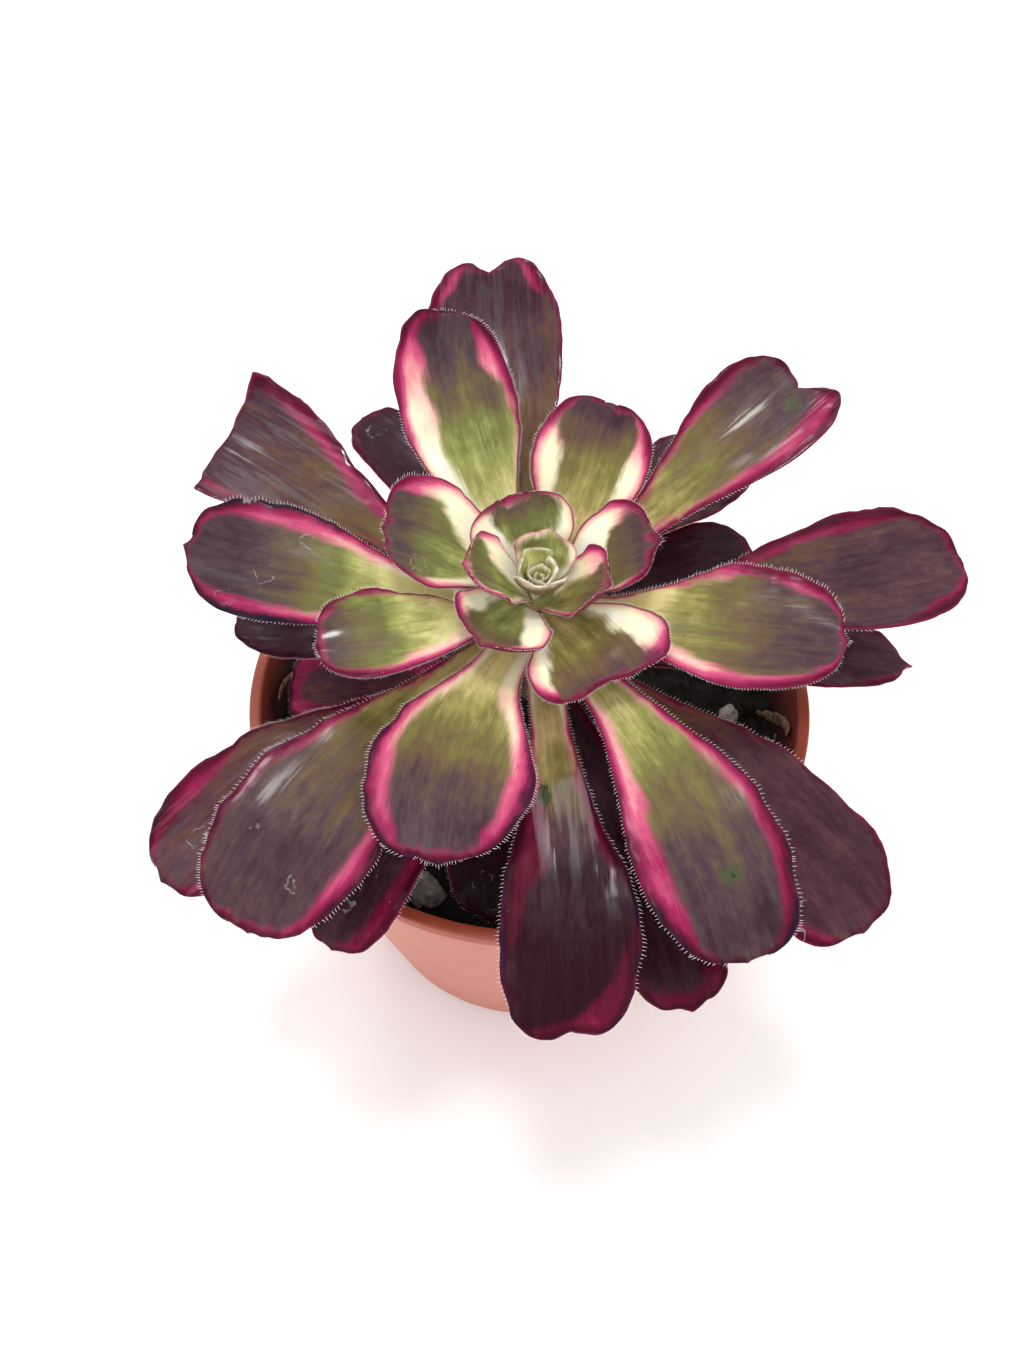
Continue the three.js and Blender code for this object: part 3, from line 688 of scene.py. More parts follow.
def dried_drops(group, have):
    """Where the upper side carries rings and specks that dried drops have left."""
    grain = have["Grain"]
    wander = add_node(group, "ShaderNodeTexNoise", {"Vector": grain, "Scale": 0.45, "Detail": 2.0})
    bent = add_node(
        group, "ShaderNodeVectorMath", {0: wander.outputs["Color"], 1: (3.5, 3.5, 0), 2: grain},
        operation="MULTIPLY_ADD",
    ).outputs[0]
    cells = add_node(group, "ShaderNodeTexVoronoi", {"Vector": bent, "Scale": 0.17})
    off_ring = calc(group, "ABSOLUTE", calc(group, "SUBTRACT", cells.outputs["Distance"], 0.33))
    chance = add_node(group, "ShaderNodeSeparateColor", {0: cells.outputs["Color"]}).outputs[0]
    ring = product(
        group,
        ramp_between(group, off_ring, 0.005, 0.032, 1, 0),
        ramp_between(group, weighted(group, chance, (have["Marks"], 0.4)), 1.03, 1.06),
        ramp_between(group, noise_of(group, grain, 0.6, 2), 0.4, 0.6),
    )
    speck = ramp_between(group, noise_of(group, grain, 2.1, 1), 0.75, 0.79)
    speck = product(group, speck, have["Marks"], 0.7)
    return product(group, calc(group, "MAXIMUM", ring, speck), have["Upper"], 0.45)


def variegated_group():
    """Colour, roughness, gloss and relief of a blade, from the values that its mesh carries."""
    group, given, out = node_group(
        "variegated_blade",
        {"Grain": "Vector", **dict.fromkeys(COAT_ATTRIBUTES, "Float")},
        {"Color": "Color", "Roughness": "Float", "Gloss": "Float", "Height": "Float"},
    )
    have = given.outputs
    raw = {
        name: streaks_of(group, have["Grain"], scale, detail)
        for name, (scale, detail) in BLADE_NOISES.items()
    }
    noises = [calc(group, "SUBTRACT", one, 0.5) for one in raw.values()]
    _, fine, _, patch, mottle = noises
    in_band, band_colour = band_look(group, have, noises)
    line = ramp_between(group, have["Rim"], 0.15, 0.8, 1, 0)
    burnt = weighted(group, have["Rim"], (patch, -4.5), (mottle, -1.2))
    burnt = ramp_between(group, burnt, 0.2, 1.3, 1, 0)
    scar = weighted(group, have["Scar"], (mottle, 1.1))
    below = calc(group, "SUBTRACT", 1.0, have["Upper"])
    marks = dried_drops(group, have)
    colour = overlaid(
        group, core_look(group, have, noises),
        (in_band, band_colour),
        (product(group, line, have["Line"], 0.75), MARGIN_LINE),
        (product(group, burnt, have["Scorch"]), SCORCHED),
        (ramp_between(group, scar, 0.5, 0.62), SCAR_RING),
        (ramp_between(group, scar, 0.75, 1), SCAR_MIDDLE),
        (product(group, below, 0.55), UNDERSIDE),
        (marks, DRIED_DROP),
    )
    satin = calc(group, "MULTIPLY_ADD", patch, 0.25, 0.29)
    satin = weighted(group, satin, (fine, 0.05), (marks, 0.25), (below, 0.15))
    wet = ramp_between(group, weighted(group, raw["broad"], (raw["fine"], 0.4)), 0.66, 0.8)
    blister = streaks_of(group, have["Grain"], (0.13, 0.34, 1), 1.5, 0.4, 0.4)
    height = weighted(
        group, blister,
        (raw["mottle"], 0.14), (raw["fine"], 0.06), (have["Scar"], -0.3), (marks, 0.05),
    )
    gloss = product(group, wet, have["Gloss"], have["Upper"])
    feed(group, out, Color=colour, Roughness=satin, Gloss=gloss, Height=height)
    return group


def leaf_material(slot, group):
    name, relief, scattered, radius, scale = LEAF_FINISHES[slot]
    material, tree, shader = new_material(
        name, Specular_IOR_Level=0.05, Coat_Roughness=0.13, Coat_IOR=1.8,
        Subsurface_Weight=scattered, Subsurface_Radius=radius, Subsurface_Scale=scale,
    )
    given = {key: attribute(tree, key.lower()) for key in COAT_ATTRIBUTES}
    given["Grain"] = attribute(tree, "grain", "Vector")
    blade = add_node(tree, "ShaderNodeGroup", given, node_tree=group).outputs
    feed(
        tree, shader, Base_Color=blade["Color"], Roughness=blade["Roughness"],
        Coat_Weight=blade["Gloss"], Normal=bump(tree, blade["Height"], relief),
    )
    return material


# ------------------------------------------------------------------ the leaves' meshes

BURIED, TIP_ROUNDING = 1.5, 0.9  # how much of a leaf is in the stem, and its end's curve, in mm
MARGIN_START = 0.04  # the share of the length from where hairs grow
MARGIN_STEPS, TIP_STEPS = 200, 60
HAIR_FOOT, HAIR_TIP = 0.064, 0.014  # a hair's radii in mm
HAIR_SHARES = (0.55, 1.15)
HAIR_LEAN = 0.25


def margin_wander(blade, place, u):
    """How far an uneven margin stands out from the even one, in mm."""
    seed = Vector((0, 0, 11.3 * blade.shape["age"]))
    slow = noise.noise(place * 0.13 + seed)
    quick = noise.noise(place * 0.42 - seed)
    return (0.9 * slow + 0.45 * quick) * smooth(u, 0.25, 0.6)


def surface_point(blade, u, theta):
    """A point of the leaf's skin at a share of its length and an angle round its section."""
    s = math.cos(theta)
    place, out, across, along = blade.at(u, s)
    wander = margin_wander(blade, place, u)
    side = math.copysign(1, s)
    place = place + across * (side * wander * abs(s) ** 5) + out * (0.5 * wander * s * s)
    past = blade.past_widest(u)
    place += along * (wander * past**3 * (1 - abs(s) ** 5))
    thick = blade.thickness(u, s) * math.sqrt(max(0, 1 - abs(s) ** 9))
    end_round = clamp((1 - u) * blade.length / TIP_ROUNDING)
    thick *= math.sqrt(1 - (1 - end_round) ** 2)
    return place + out * (math.copysign(1, math.sin(theta)) * thick / 2), s, out, across, along


def leaf_bmesh(blade, rows, around, matrix, seed):
    """The closed skin of one leaf in metres, with what its material reads."""
    bm = bmesh.new()
    bmesh.ops.create_grid(bm, x_segments=rows, y_segments=around, size=1)
    uv_layer = bm.loops.layers.uv.new("leaf")
    layers = [bm.verts.layers.float.new(key.lower()) for key in COAT_ATTRIBUTES]
    grain = bm.verts.layers.float_vector.new("grain")
    buried = BURIED / blade.length
    where = {}
    for vert in bm.verts:
        t = (vert.co.x + 1) / 2
        theta = math.pi * (vert.co.y + 1)
        u = lerp(-buried, 1, 1 - (1 - t) ** 1.7)
        point, s, *_ = surface_point(blade, u, theta)
        where[vert] = (u, s)
        for layer, value in zip(layers, coat_values(blade, u, s, theta)):
            vert[layer] = value
        vert[grain] = (u * blade.length, s * blade.half_width(u), 7.7 * seed)
        vert.co = matrix @ point
    for face in bm.faces:
        for loop in face.loops:
            u, s = where[loop.vert]
            loop[uv_layer].uv = (clamp(u), 0.5 + 0.5 * s)
    bmesh.ops.remove_doubles(bm, verts=bm.verts, dist=2e-6)
    bmesh.ops.holes_fill(bm, edges=bm.edges, sides=0)
    # Each corner of the flat tip lies between two faces only, and would fold them together.
    corners = [vert for vert in bm.verts if len(vert.link_edges) == 2]
    bmesh.ops.dissolve_verts(bm, verts=corners)
    bmesh.ops.recalc_face_normals(bm, faces=bm.faces)
    return bm


def margin_path(blade, gap):
    """Places along a leaf's margin, `gap` mm apart: each with its outward way and its normal."""
    shares = [lerp(MARGIN_START, 1, k / MARGIN_STEPS) for k in range(MARGIN_STEPS + 1)]
    points = [(u, 0.0) for u in shares]
    points += [(1, math.pi * k / TIP_STEPS) for k in range(1, TIP_STEPS)]
    points += [(lerp(1, MARGIN_START, k / MARGIN_STEPS), math.pi) for k in range(MARGIN_STEPS + 1)]
    path, walked, last = [], 0, None
    for u, theta in points:
        place, s, out, across, along = surface_point(blade, u, theta)
        walked += (place - last).length if last else 0
        last = place
        if walked >= gap:
            walked = 0
            outward = across * s + along * (1.2 * math.sqrt(1 - s * s) + 0.35)
            path.append((place, outward.normalized(), out))
    return path


def leaf_hairs(blade, matrix, plant, draw):
    """Stiff pale hairs along a leaf's margin, each a thin three-sided spike."""
    bm = bmesh.new()
    turn = matrix.to_3x3().normalized()
    full = plant.hair_length / MM
    for place, outward, out in margin_path(blade, plant.hair_gap / MM):
        lean = Vector([draw.uniform(-HAIR_LEAN, HAIR_LEAN) for _ in range(3)])
        way = turn @ (outward + lean + out * 0.1).normalized()
        length = full * draw.uniform(*HAIR_SHARES) * lerp(0.6, 1, min(1, blade.length / 40))
        stand = Matrix.Translation(matrix @ place + way * (length * MM * 0.42))
        stand = stand @ way.to_track_quat("Z", "Y").to_matrix().to_4x4()
        bmesh.ops.create_cone(
            bm, cap_ends=True, segments=3, radius1=HAIR_FOOT * MM, radius2=HAIR_TIP * MM,
            depth=length * MM, matrix=stand,
        )
    return bm


def leaf_slot(number):
    if number <= 8:
        return "inner_leaf"
    return "middle_leaf" if number <= 18 else "outer_leaf"


class AEONIUM_OT_leaves(bpy.types.Operator):
    """Model the rosette's leaves, with their variegated bands"""

    bl_idname = "aeonium.leaves"
    bl_label = "Leaves"

    def execute(self, context):
        plant = context.scene.aeonium_plant
        group = variegated_group()
        slots = ("inner_leaf", "middle_leaf", "outer_leaf")
        looks = {slot: leaf_material(slot, group) for slot in slots}
        to_row = rosette_matrix()
        for number, blade in enumerate(leaf_blades(), 1):
            size = clamp(blade.length / 45, 0.6, 1)
            rows, around = round(plant.rows * size), round(plant.around * size / 2) * 2
            bm = leaf_bmesh(blade, rows, around, to_row @ blade.matrix(), number)
            slot = leaf_slot(number)
            finished(f"leaf_blade_{number:02d}", bm, looks[slot], [f"leaf_{number:02d}"])
        return {"FINISHED"}


BUD_LEAVES, BUD_LENGTH, BUD_SHRINK = 8, 10, 0.84
BUD_FLOOR, BUD_CLIMB = -0.5, 0.15  # the height of the outermost leaf's foot, and each next step up
BUD_EXTRA = {"wave": 0, "waist": 0.5, "point": 0.5}
BUD_COAT = dict(left=(0.3, 0.5), right=(0.3, 0.5), tip=0.4, flush=(0.3, -0.3, 1, -0.2),
                dusk=(0.2, -0.12, 0.9, 0.02), line=0, warm=0, scorch=0, marks=0)
CORE_RADIUS, CORE_STRETCH, CORE_HEIGHT = 1.3, 1.4, 0.2


def bud_blades():
    """The bud's leaves, from the outermost in: each with its matrix in the rosette's frame."""
    blades = []
    for k in range(BUD_LEAVES):
        length = BUD_LENGTH * BUD_SHRINK**k
        blade = Blade((-k, 0, 60 + 3 * k, -8, length, 1.05 * length, 50, BUD_EXTRA), BUD_COAT)
        turn = Matrix.Rotation(math.radians(azimuth_of(-k)), 4, "Z")
        blades.append((blade, turn @ Matrix.Translation((0.5, 0, BUD_FLOOR + BUD_CLIMB * k))))
    return blades


class AEONIUM_OT_bud(bpy.types.Operator):
    """Model the bud at the rosette's heart"""

    bl_idname = "aeonium.bud"
    bl_label = "Bud"

    def execute(self, context):
        plant = context.scene.aeonium_plant
        look = leaf_material("bud", bpy.data.node_groups["variegated_blade"])
        rows, around = plant.rows // 2, plant.around // 2
        to_row = rosette_matrix()
        leaves = gathered(
            leaf_bmesh(blade, rows, around, to_row @ matrix, 40 + k)
            for k, (blade, matrix) in enumerate(bud_blades())
        )
        core = bmesh.new()
        bmesh.ops.create_icosphere(core, subdivisions=3, radius=CORE_RADIUS)
        bmesh.ops.scale(core, vec=(1, 1, CORE_STRETCH), verts=core.verts)
        raised = to_row @ Matrix.Translation((0, 0, CORE_HEIGHT))
        bmesh.ops.transform(core, matrix=raised, verts=core.verts)
        finished("bud_leaves", leaves, look, ["rosette_heart"])
        finished("bud_core", core, look)
        return {"FINISHED"}


class AEONIUM_OT_hairs(bpy.types.Operator):
    """Model the pale hairs along the leaves' margins"""

    bl_idname = "aeonium.hairs"
    bl_label = "Margin hairs"

    def execute(self, context):
        plant = context.scene.aeonium_plant
        draw = random.Random(5)
        material, tree, shader = new_material("hair", Roughness=0.5)
        tint = noise_of(tree, object_place(tree), 90, 2)
        tone = blend_colours(tree, tint, (0.95, 0.93, 0.9, 1), (0.88, 0.7, 0.68, 1))
        feed(tree, shader, Base_Color=tone)
        to_row = rosette_matrix()
        standing = [(blade, blade.matrix()) for blade in leaf_blades()] + bud_blades()
        hairs = gathered(
            leaf_hairs(blade, to_row @ matrix, plant, draw) for blade, matrix in standing
        )
        finished("margin_hairs", hairs, material, smooth_faces=False)
        return {"FINISHED"}


# ------------------------------------------------------------------ stem

STEM_END, STEM_STEPS, STEM_SIDES = 66, 60, 48
GREEN_ENDS, GREEN_FADES = 30, 10  # how far below the tip its green ends, and starts to fade
SCAR_AGES = range(20, 54)


def stem_material():
    material, tree, shader = new_material("stem_bark", Roughness=0.7)
    place = object_place(tree)
    grain = streaks_of(tree, place, (1400, 1400, 350), 4)
    patch = noise_of(tree, place, 260, 3)
    bark = colour_ramp(tree, grain, [(0.3, (0.09, 0.06, 0.035, 1)), (0.7, (0.3, 0.23, 0.12, 1))])
    green = colour_ramp(tree, patch, [(0.35, (0.3, 0.33, 0.1, 1)), (0.7, (0.42, 0.22, 0.14, 1))])
    colour = blend_colours(tree, attribute(tree, "young"), bark, green)
    height = weighted(tree, grain, (attribute(tree, "scar"), -0.6))
    feed(tree, shader, Base_Color=colour, Normal=bump(tree, height, 0.4))
    return material


class AEONIUM_OT_stem(bpy.types.Operator):
    """Model the leaning stem with the scars of fallen leaves"""

    bl_idname = "aeonium.stem"
    bl_label = "Stem"

    def execute(self, context):
        downs = [lerp(STEM_END, STEM_TOP, (k / STEM_STEPS) ** 0.6) for k in range(STEM_STEPS + 1)]
        profile = [(0, -STEM_END), *((stem_radius(down), -down) for down in downs), (0, -STEM_TOP)]
        bm = spun(profile, STEM_SIDES)
        young = bm.verts.layers.float.new("young")
        scar = bm.verts.layers.float.new("scar")
        scars = [(root_depth(age), math.radians(azimuth_of(age))) for age in SCAR_AGES]
        for vert in bm.verts:
            down, azimuth = -vert.co.z, math.atan2(vert.co.y, vert.co.x)
            vert[young] = smooth(down, GREEN_ENDS, GREEN_FADES)
            ring = 0
            for depth, toward in scars:
                off = (azimuth - toward + math.pi) % math.tau - math.pi
                away = math.hypot(off * STEM_RADIUS / 4, (down - depth) / 1.6)
                ring = max(ring, 1 - smooth(abs(away - 0.8), 0, 0.4))
            vert[scar] = ring
            swell = 1 + 0.05 * ring + 0.04 * noise.noise(vert.co * 0.3)
            vert.co.x *= swell
            vert.co.y *= swell
        bmesh.ops.transform(bm, matrix=rosette_matrix(), verts=bm.verts)
        finished("stem_bark", bm, stem_material(), ["stem"])
        return {"FINISHED"}


# ------------------------------------------------------------------ pot

RIM_RADIUS, RIM_WIDTH, RIM_HEIGHT, RIM_STEP = 60, 2.4, 3.2, 0.9
POT_HEIGHT, FOOT_RADIUS, WALL, FLOOR_HEIGHT = 90, 42, 1.3, 1.8
UNDER_RIM = POT_HEIGHT - RIM_HEIGHT
DRAIN_HOLES, DRAIN_RADIUS, DRAIN_CIRCLE = 8, 3.2, 31
POT_STEPS, ROUNDING = 160, 0.5
SLIVER, SHARP_ANGLE = 0.002, 35

SPECKLE = (0.3, 0.07, 0.03, 1)
# Painted shade on the inner wall, and the deeper painted shade just above the compost.
SHADED_INNER_WALL = (0.26, 0.05, 0.028, 1)
DEEP_SHADE_WALL = (0.05, 0.014, 0.014, 1)


def inner_radius(height):
    share = (height - FLOOR_HEIGHT) / (POT_HEIGHT - FLOOR_HEIGHT)
    return lerp(FOOT_RADIUS - WALL, RIM_RADIUS - RIM_WIDTH, share)


def rounded(corners, radius, steps=4):
    """An outline with each inner corner turned on a small arc."""
    outline = [corners[0]]
    for before, corner, after in zip(corners, corners[1:], corners[2:]):
        corner = Vector(corner)
        to_before, to_after = Vector(before) - corner, Vector(after) - corner
        cut = min(radius, to_before.length * 0.45, to_after.length * 0.45)
        start, end = corner + to_before.normalized() * cut, corner + to_after.normalized() * cut
        for k in range(steps + 1):
            t = k / steps
            outline.append(tuple(start.lerp(corner, t).lerp(corner.lerp(end, t), t)))
    return outline + [corners[-1]]


def pot_material(settings):
    material, tree, shader = new_material("pot_plastic", Specular_IOR_Level=0.45)
    place = object_place(tree)
    in_mm = add_node(tree, "ShaderNodeVectorMath", {0: place, 3: 1 / MM}, operation="SCALE")
    x, y, z = add_node(tree, "ShaderNodeSeparateXYZ", {0: in_mm.outputs[0]}).outputs
    radius = calc(tree, "SQRT", weighted(tree, product(tree, x, x), (y, y)))
    mottle = noise_of(tree, place, 60, 4)
    fine = noise_of(tree, place, 900, 3)

    # The outer wall is paler in mottled patches, and the paler colour stops under the rim.
    below_rim = ramp_between(tree, z, UNDER_RIM - 2.8, UNDER_RIM - 0.2, 1, 0)
    pale_wall = product(tree, below_rim, ramp_between(tree, mottle, 0.15, 0.6, 0.75, 1.0))

    # Inside, the wall carries painted shade: the plastic is painted darker there, and darker still in a
    # ragged band just above the compost.
    slope = (inner_radius(POT_HEIGHT) - inner_radius(0)) / POT_HEIGHT
    from_wall = weighted(tree, radius, (z, -slope))
    inside = product(
        tree,
        ramp_between(tree, from_wall, inner_radius(0) + 0.5, inner_radius(0) + 0.05, 0, 1),
        ramp_between(tree, z, POT_HEIGHT - 1.5, POT_HEIGHT - 0.7, 1, 0),
    )
    # The deeper painted shade reaches up from the compost to a ragged edge.
    shade_reach = weighted(tree, z, (mottle, -6))
    deep_shade = ramp_between(tree, shade_reach, SOIL_LEVEL - 1, SOIL_LEVEL + 11, 1, 0)
    colour = overlaid(
        tree, settings.plastic,
        (pale_wall, settings.pale_wall),
        (product(tree, fine, 0.12), SPECKLE),
        (inside, blend_colours(tree, deep_shade, SHADED_INNER_WALL, DEEP_SHADE_WALL)),
    )

    # Faint turned lines run round the rim, and a fine grain over the wall.
    lines = calc(tree, "SINE", product(tree, z, 6.5))
    feed(
        tree, shader, Base_Color=colour, Roughness=ramp_between(tree, mottle, 0.2, 0.8, 0.36, 0.5),
        Normal=bump(tree, weighted(tree, fine, (lines, 0.12)), 0.06),
    )
    return material


def drain_drill():
    """The cylinders that the drain holes are cut with, in metres."""
    drill = bmesh.new()
    radius, circle = DRAIN_RADIUS * MM, DRAIN_CIRCLE * MM
    for k in range(DRAIN_HOLES):
        angle = math.tau * (k + 0.5) / DRAIN_HOLES
        at = Matrix.Translation((circle * math.cos(angle), circle * math.sin(angle), 0))
        bmesh.ops.create_cone(
            drill, cap_ends=True, segments=32, radius1=radius, radius2=radius,
            depth=3 * FLOOR_HEIGHT * MM, matrix=at,
        )
    return drill


def drilled(pot, drill):
    """The pot's mesh with the drill's holes in it."""
    cutter = placed("drain_drill", mesh_from("drain_drill", drill))
    cut = pot.modifiers.new("drains", "BOOLEAN")
    cut.operation, cut.object, cut.solver = "DIFFERENCE", cutter, "EXACT"
    evaluated = pot.evaluated_get(bpy.context.evaluated_depsgraph_get())
    mesh = bpy.data.meshes.new_from_object(evaluated)
    pot.modifiers.clear()
    bpy.data.objects.remove(cutter)
    # The cut leaves slivers at the holes, which close up when near points are joined.
    clean = bmesh.new()
    clean.from_mesh(mesh)
    bmesh.ops.remove_doubles(clean, verts=clean.verts, dist=SLIVER * MM)
    clean.to_mesh(mesh)
    clean.free()
    mesh.set_sharp_from_angle(angle=math.radians(SHARP_ANGLE))
    return mesh


class AEONIUM_OT_pot(bpy.types.Operator):
    """Model the round nursery pot"""

    bl_idname = "aeonium.pot"
    bl_label = "Pot"

    def execute(self, context):
        outline = [
            (0, 0),
            (FOOT_RADIUS - 0.5, 0),
            (FOOT_RADIUS + 0.2, 1.4),
            (RIM_RADIUS - RIM_STEP, UNDER_RIM),
            (RIM_RADIUS, UNDER_RIM + 0.4),
            (RIM_RADIUS, POT_HEIGHT),
            (inner_radius(POT_HEIGHT), POT_HEIGHT),
            (inner_radius(FLOOR_HEIGHT), FLOOR_HEIGHT),
            (0, FLOOR_HEIGHT),
        ]
        bm = spun(rounded(outline, ROUNDING), POT_STEPS)
        bmesh.ops.scale(bm, vec=(MM, MM, MM), verts=bm.verts)
        plastic = pot_material(context.scene.aeonium_pot)
        pot = finished("pot_shell", bm, plastic, ["pot"])
        pot.data = drilled(pot, drain_drill())
        return {"FINISHED"}


# ------------------------------------------------------------------ soil and what lies on it

SOIL_LEVEL, SOIL_BUMP = 77, 1.1
SOIL_RINGS, SOIL_STEPS = 44, 150
SOIL_EDGE = inner_radius(SOIL_LEVEL) - 0.25
SOIL_BOTTOM = FLOOR_HEIGHT + 0.3
CLOD_HEIGHT, CLOD_DENSITY = 1.6, 0.21
CRUMB_REACH = 0.985  # the share of the soil's radius over which crumbs lie
CRUMB_WIDTHS, CHIP_WIDTHS, CHIP_EVERY = (0.8, 3.0), (0.7, 1.6), 9

# Each stony material's dark and light colour and how fine its pattern is.
STONY_LOOKS = {
    "bark_chip": ((0.12, 0.07, 0.04, 1), (0.4, 0.3, 0.2, 1), 700),
    "dried_husk": ((0.1, 0.05, 0.035, 1), (0.42, 0.27, 0.15, 1), 500),
    "grey_stone": ((0.1, 0.085, 0.08, 1), (0.3, 0.27, 0.25, 1), 500),
    "perlite": ((0.3, 0.26, 0.2, 1), (0.62, 0.57, 0.48, 1), 700),
}
EARTH_STAIN = (0.05, 0.035, 0.03, 1)
FIBRE = (0.13, 0.075, 0.045, 1)

# Each stone's node, its size and place on the soil in mm, its seed, its slot and its material.
STONES = [
    ("stone", (8, 7, 5), (-21, -45), 1, "stone", "grey_stone"),
    ("perlite_1", (5, 4, 3.4), (45, -1), 2, "perlite", "perlite"),
    ("perlite_2", (4, 3.4, 3), (41, -9), 3, "perlite", "perlite"),
    ("perlite_3", (4.4, 3.6, 3), (-47, 9), 4, "perlite", "perlite"),
]

# Each dried bit's start, bend and end in mm, with its width in mm.
DRIED_BITS = [
    ((51, -1, 79), (58, -7, 84), (54.2, -12.5, 87), 3),
    ((47, -13, 78), (52, -15, 84), (53.5, -9, 82.5), 1.6),
    ((-52, 12, 78.5), (-56, 6, 83), (-54.5, -3, 86), 1.6),
    ((30, 32, 78.5), (36, 30, 82), (41, 22, 78.5), 1.4),
]


def soil_height(x, y):
    """The crumbly surface's height, in mm."""
    broad = math.sin(0.11 * x + 0.6) * math.cos(0.09 * y - 0.4)
    fine = math.sin(0.43 * x + 0.19 * y + 2) * math.cos(0.38 * y - 0.23 * x)
    return SOIL_LEVEL + SOIL_BUMP * (broad + 0.6 * fine)


def soil_material():
    material, tree, shader = new_material("dark_compost", Roughness=0.95)
    place = object_place(tree)
    clods = noise_of(tree, place, 420, 6, 0.65)
    fibre = streaks_of(tree, place, (500, 2600, 900), 4)
    stops = [(0.35, (0.006, 0.004, 0.004, 1)), (0.7, (0.035, 0.022, 0.016, 1))]
    flecks = product(tree, ramp_between(tree, fibre, 0.66, 0.74), 0.7)
    colour = blend_colours(tree, flecks, colour_ramp(tree, clods, stops), FIBRE)
    normal = bump(tree, calc(tree, "ADD", clods, fibre), 1.2)
    feed(tree, shader, Base_Color=colour, Normal=normal)
    return material


def stony_material(name):
    dark, light, scale = STONY_LOOKS[name]
    material, tree, shader = new_material(name, Roughness=0.85)
    place = object_place(tree)
    mottle = noise_of(tree, place, scale, 5, 0.6)
    pits = add_node(tree, "ShaderNodeTexVoronoi", {"Vector": place, "Scale": scale * 2.2})
    stained = ramp_between(tree, noise_of(tree, place, scale * 0.5, 3), 0.56, 0.7, 0, 0.7)
    colour = colour_ramp(tree, mottle, [(0.32, dark), (0.68, light)])
    colour = blend_colours(tree, stained, colour, EARTH_STAIN)
    normal = bump(tree, calc(tree, "ADD", mottle, pits.outputs["Distance"]), 0.35)
    feed(tree, shader, Base_Color=colour, Normal=normal)
    return material


def pebble(size, centre, seed, subdivisions, rough=0.12):
    """An uneven stone of a given size in mm at a centre in mm, made in metres."""
    bm = bmesh.new()
    bmesh.ops.create_icosphere(bm, subdivisions=subdivisions, radius=0.5)
    turn = Matrix.Rotation(seed * 2.1, 3, "Z")
    for vert in bm.verts:
        point = vert.co.copy()
        bulge = 1 + 0.16 * math.sin(7 * point.x + seed) * math.cos(6 * point.y - seed)
        bulge += rough * noise.noise(point * 5 + Vector((seed, 0, 0)))
        point *= bulge
        point = turn @ Vector((point.x * size[0], point.y * size[1], point.z * size[2]))
        vert.co = (point + Vector(centre)) * MM
    return bm


def dried_bit(start, bend, end, width):
    """A shrivelled, flattened stalk along a bent path in mm, pointed at both ends."""
    bm = bmesh.new()
    start, bend, end = Vector(start), Vector(bend), Vector(end)
    bmesh.ops.create_grid(bm, x_segments=26, y_segments=10, size=1)
    for vert in bm.verts:
        u, angle = (vert.co.x + 1) / 2, (vert.co.y + 1) * math.pi
        place = start.lerp(bend, u).lerp(bend.lerp(end, u), u)
        ahead = (bend - start).lerp(end - bend, u).normalized()
        across = ahead.cross(Vector((0, 0, 1))).normalized()
        over = across.cross(ahead)
        crumple = 1 + 0.5 * noise.noise(place * 0.6) + 0.3 * noise.noise(place * 2)
        radius = width / 2 * max(0, 4 * u * (1 - u)) ** 0.4 * crumple
        offset = across * math.cos(angle) * 0.35 + over * math.sin(angle)
        vert.co = (place + offset * radius) * MM
    return bm


def soil_bmesh():
    """The compost's body, with a crumbly top."""
    profile = [(0, SOIL_BOTTOM), (inner_radius(SOIL_BOTTOM) - 0.3, SOIL_BOTTOM)]
    rings = range(SOIL_RINGS, -1, -1)
    profile += [(SOIL_EDGE * ring / SOIL_RINGS, SOIL_LEVEL) for ring in rings]
    bm = spun(profile, SOIL_STEPS)
    for vert in bm.verts:
        if vert.co.z > SOIL_BOTTOM + 1:
            x, y = vert.co.xy
            clod = noise.turbulence(Vector((x, y, 0)) * CLOD_DENSITY, 4, False)
            vert.co.z = soil_height(x, y) + CLOD_HEIGHT * (clod - 0.5)
    bmesh.ops.scale(bm, vec=(MM, MM, MM), verts=bm.verts)
    return bm


def crumbs_and_chips(count, draw):
    """Loose bits scattered over the soil: dark crumbs, with pale chips among them."""
    crumbs, chips = [], []
    for index in range(count):
        radius = SOIL_EDGE * math.sqrt(draw.random()) * CRUMB_REACH
        angle = draw.uniform(0, math.tau)
        x, y = radius * math.cos(angle), radius * math.sin(angle)
        pale = index % CHIP_EVERY == 0
        width = draw.uniform(*(CHIP_WIDTHS if pale else CRUMB_WIDTHS))
        size = (width, width * draw.uniform(0.5, 1), width * draw.uniform(0.4, 0.8))
        centre = (x, y, soil_height(x, y) + size[2] * 0.3)
        (chips if pale else crumbs).append(pebble(size, centre, index * 0.37, 1, 0.5))
    return gathered(crumbs), gathered(chips)


class AEONIUM_OT_soil(bpy.types.Operator):
    """Model the dark compost and its loose crumbs"""

    bl_idname = "aeonium.soil"
    bl_label = "Soil"

    def execute(self, context):
        compost = soil_material()
        finished("compost", soil_bmesh(), compost, ["soil"])
        count = context.scene.aeonium_pot.crumbs
        crumbs, chips = crumbs_and_chips(count, random.Random(11))
        finished("compost_crumbs", crumbs, compost, smooth_faces=False)
        finished("bark_chips", chips, stony_material("bark_chip"), smooth_faces=False)
        dried = gathered(dried_bit(*bit) for bit in DRIED_BITS)
        bmesh.ops.remove_doubles(dried, verts=dried.verts, dist=0.001 * MM)
        bmesh.ops.recalc_face_normals(dried, faces=dried.faces)
        finished("dried_bits", dried, stony_material("dried_husk"))
        return {"FINISHED"}


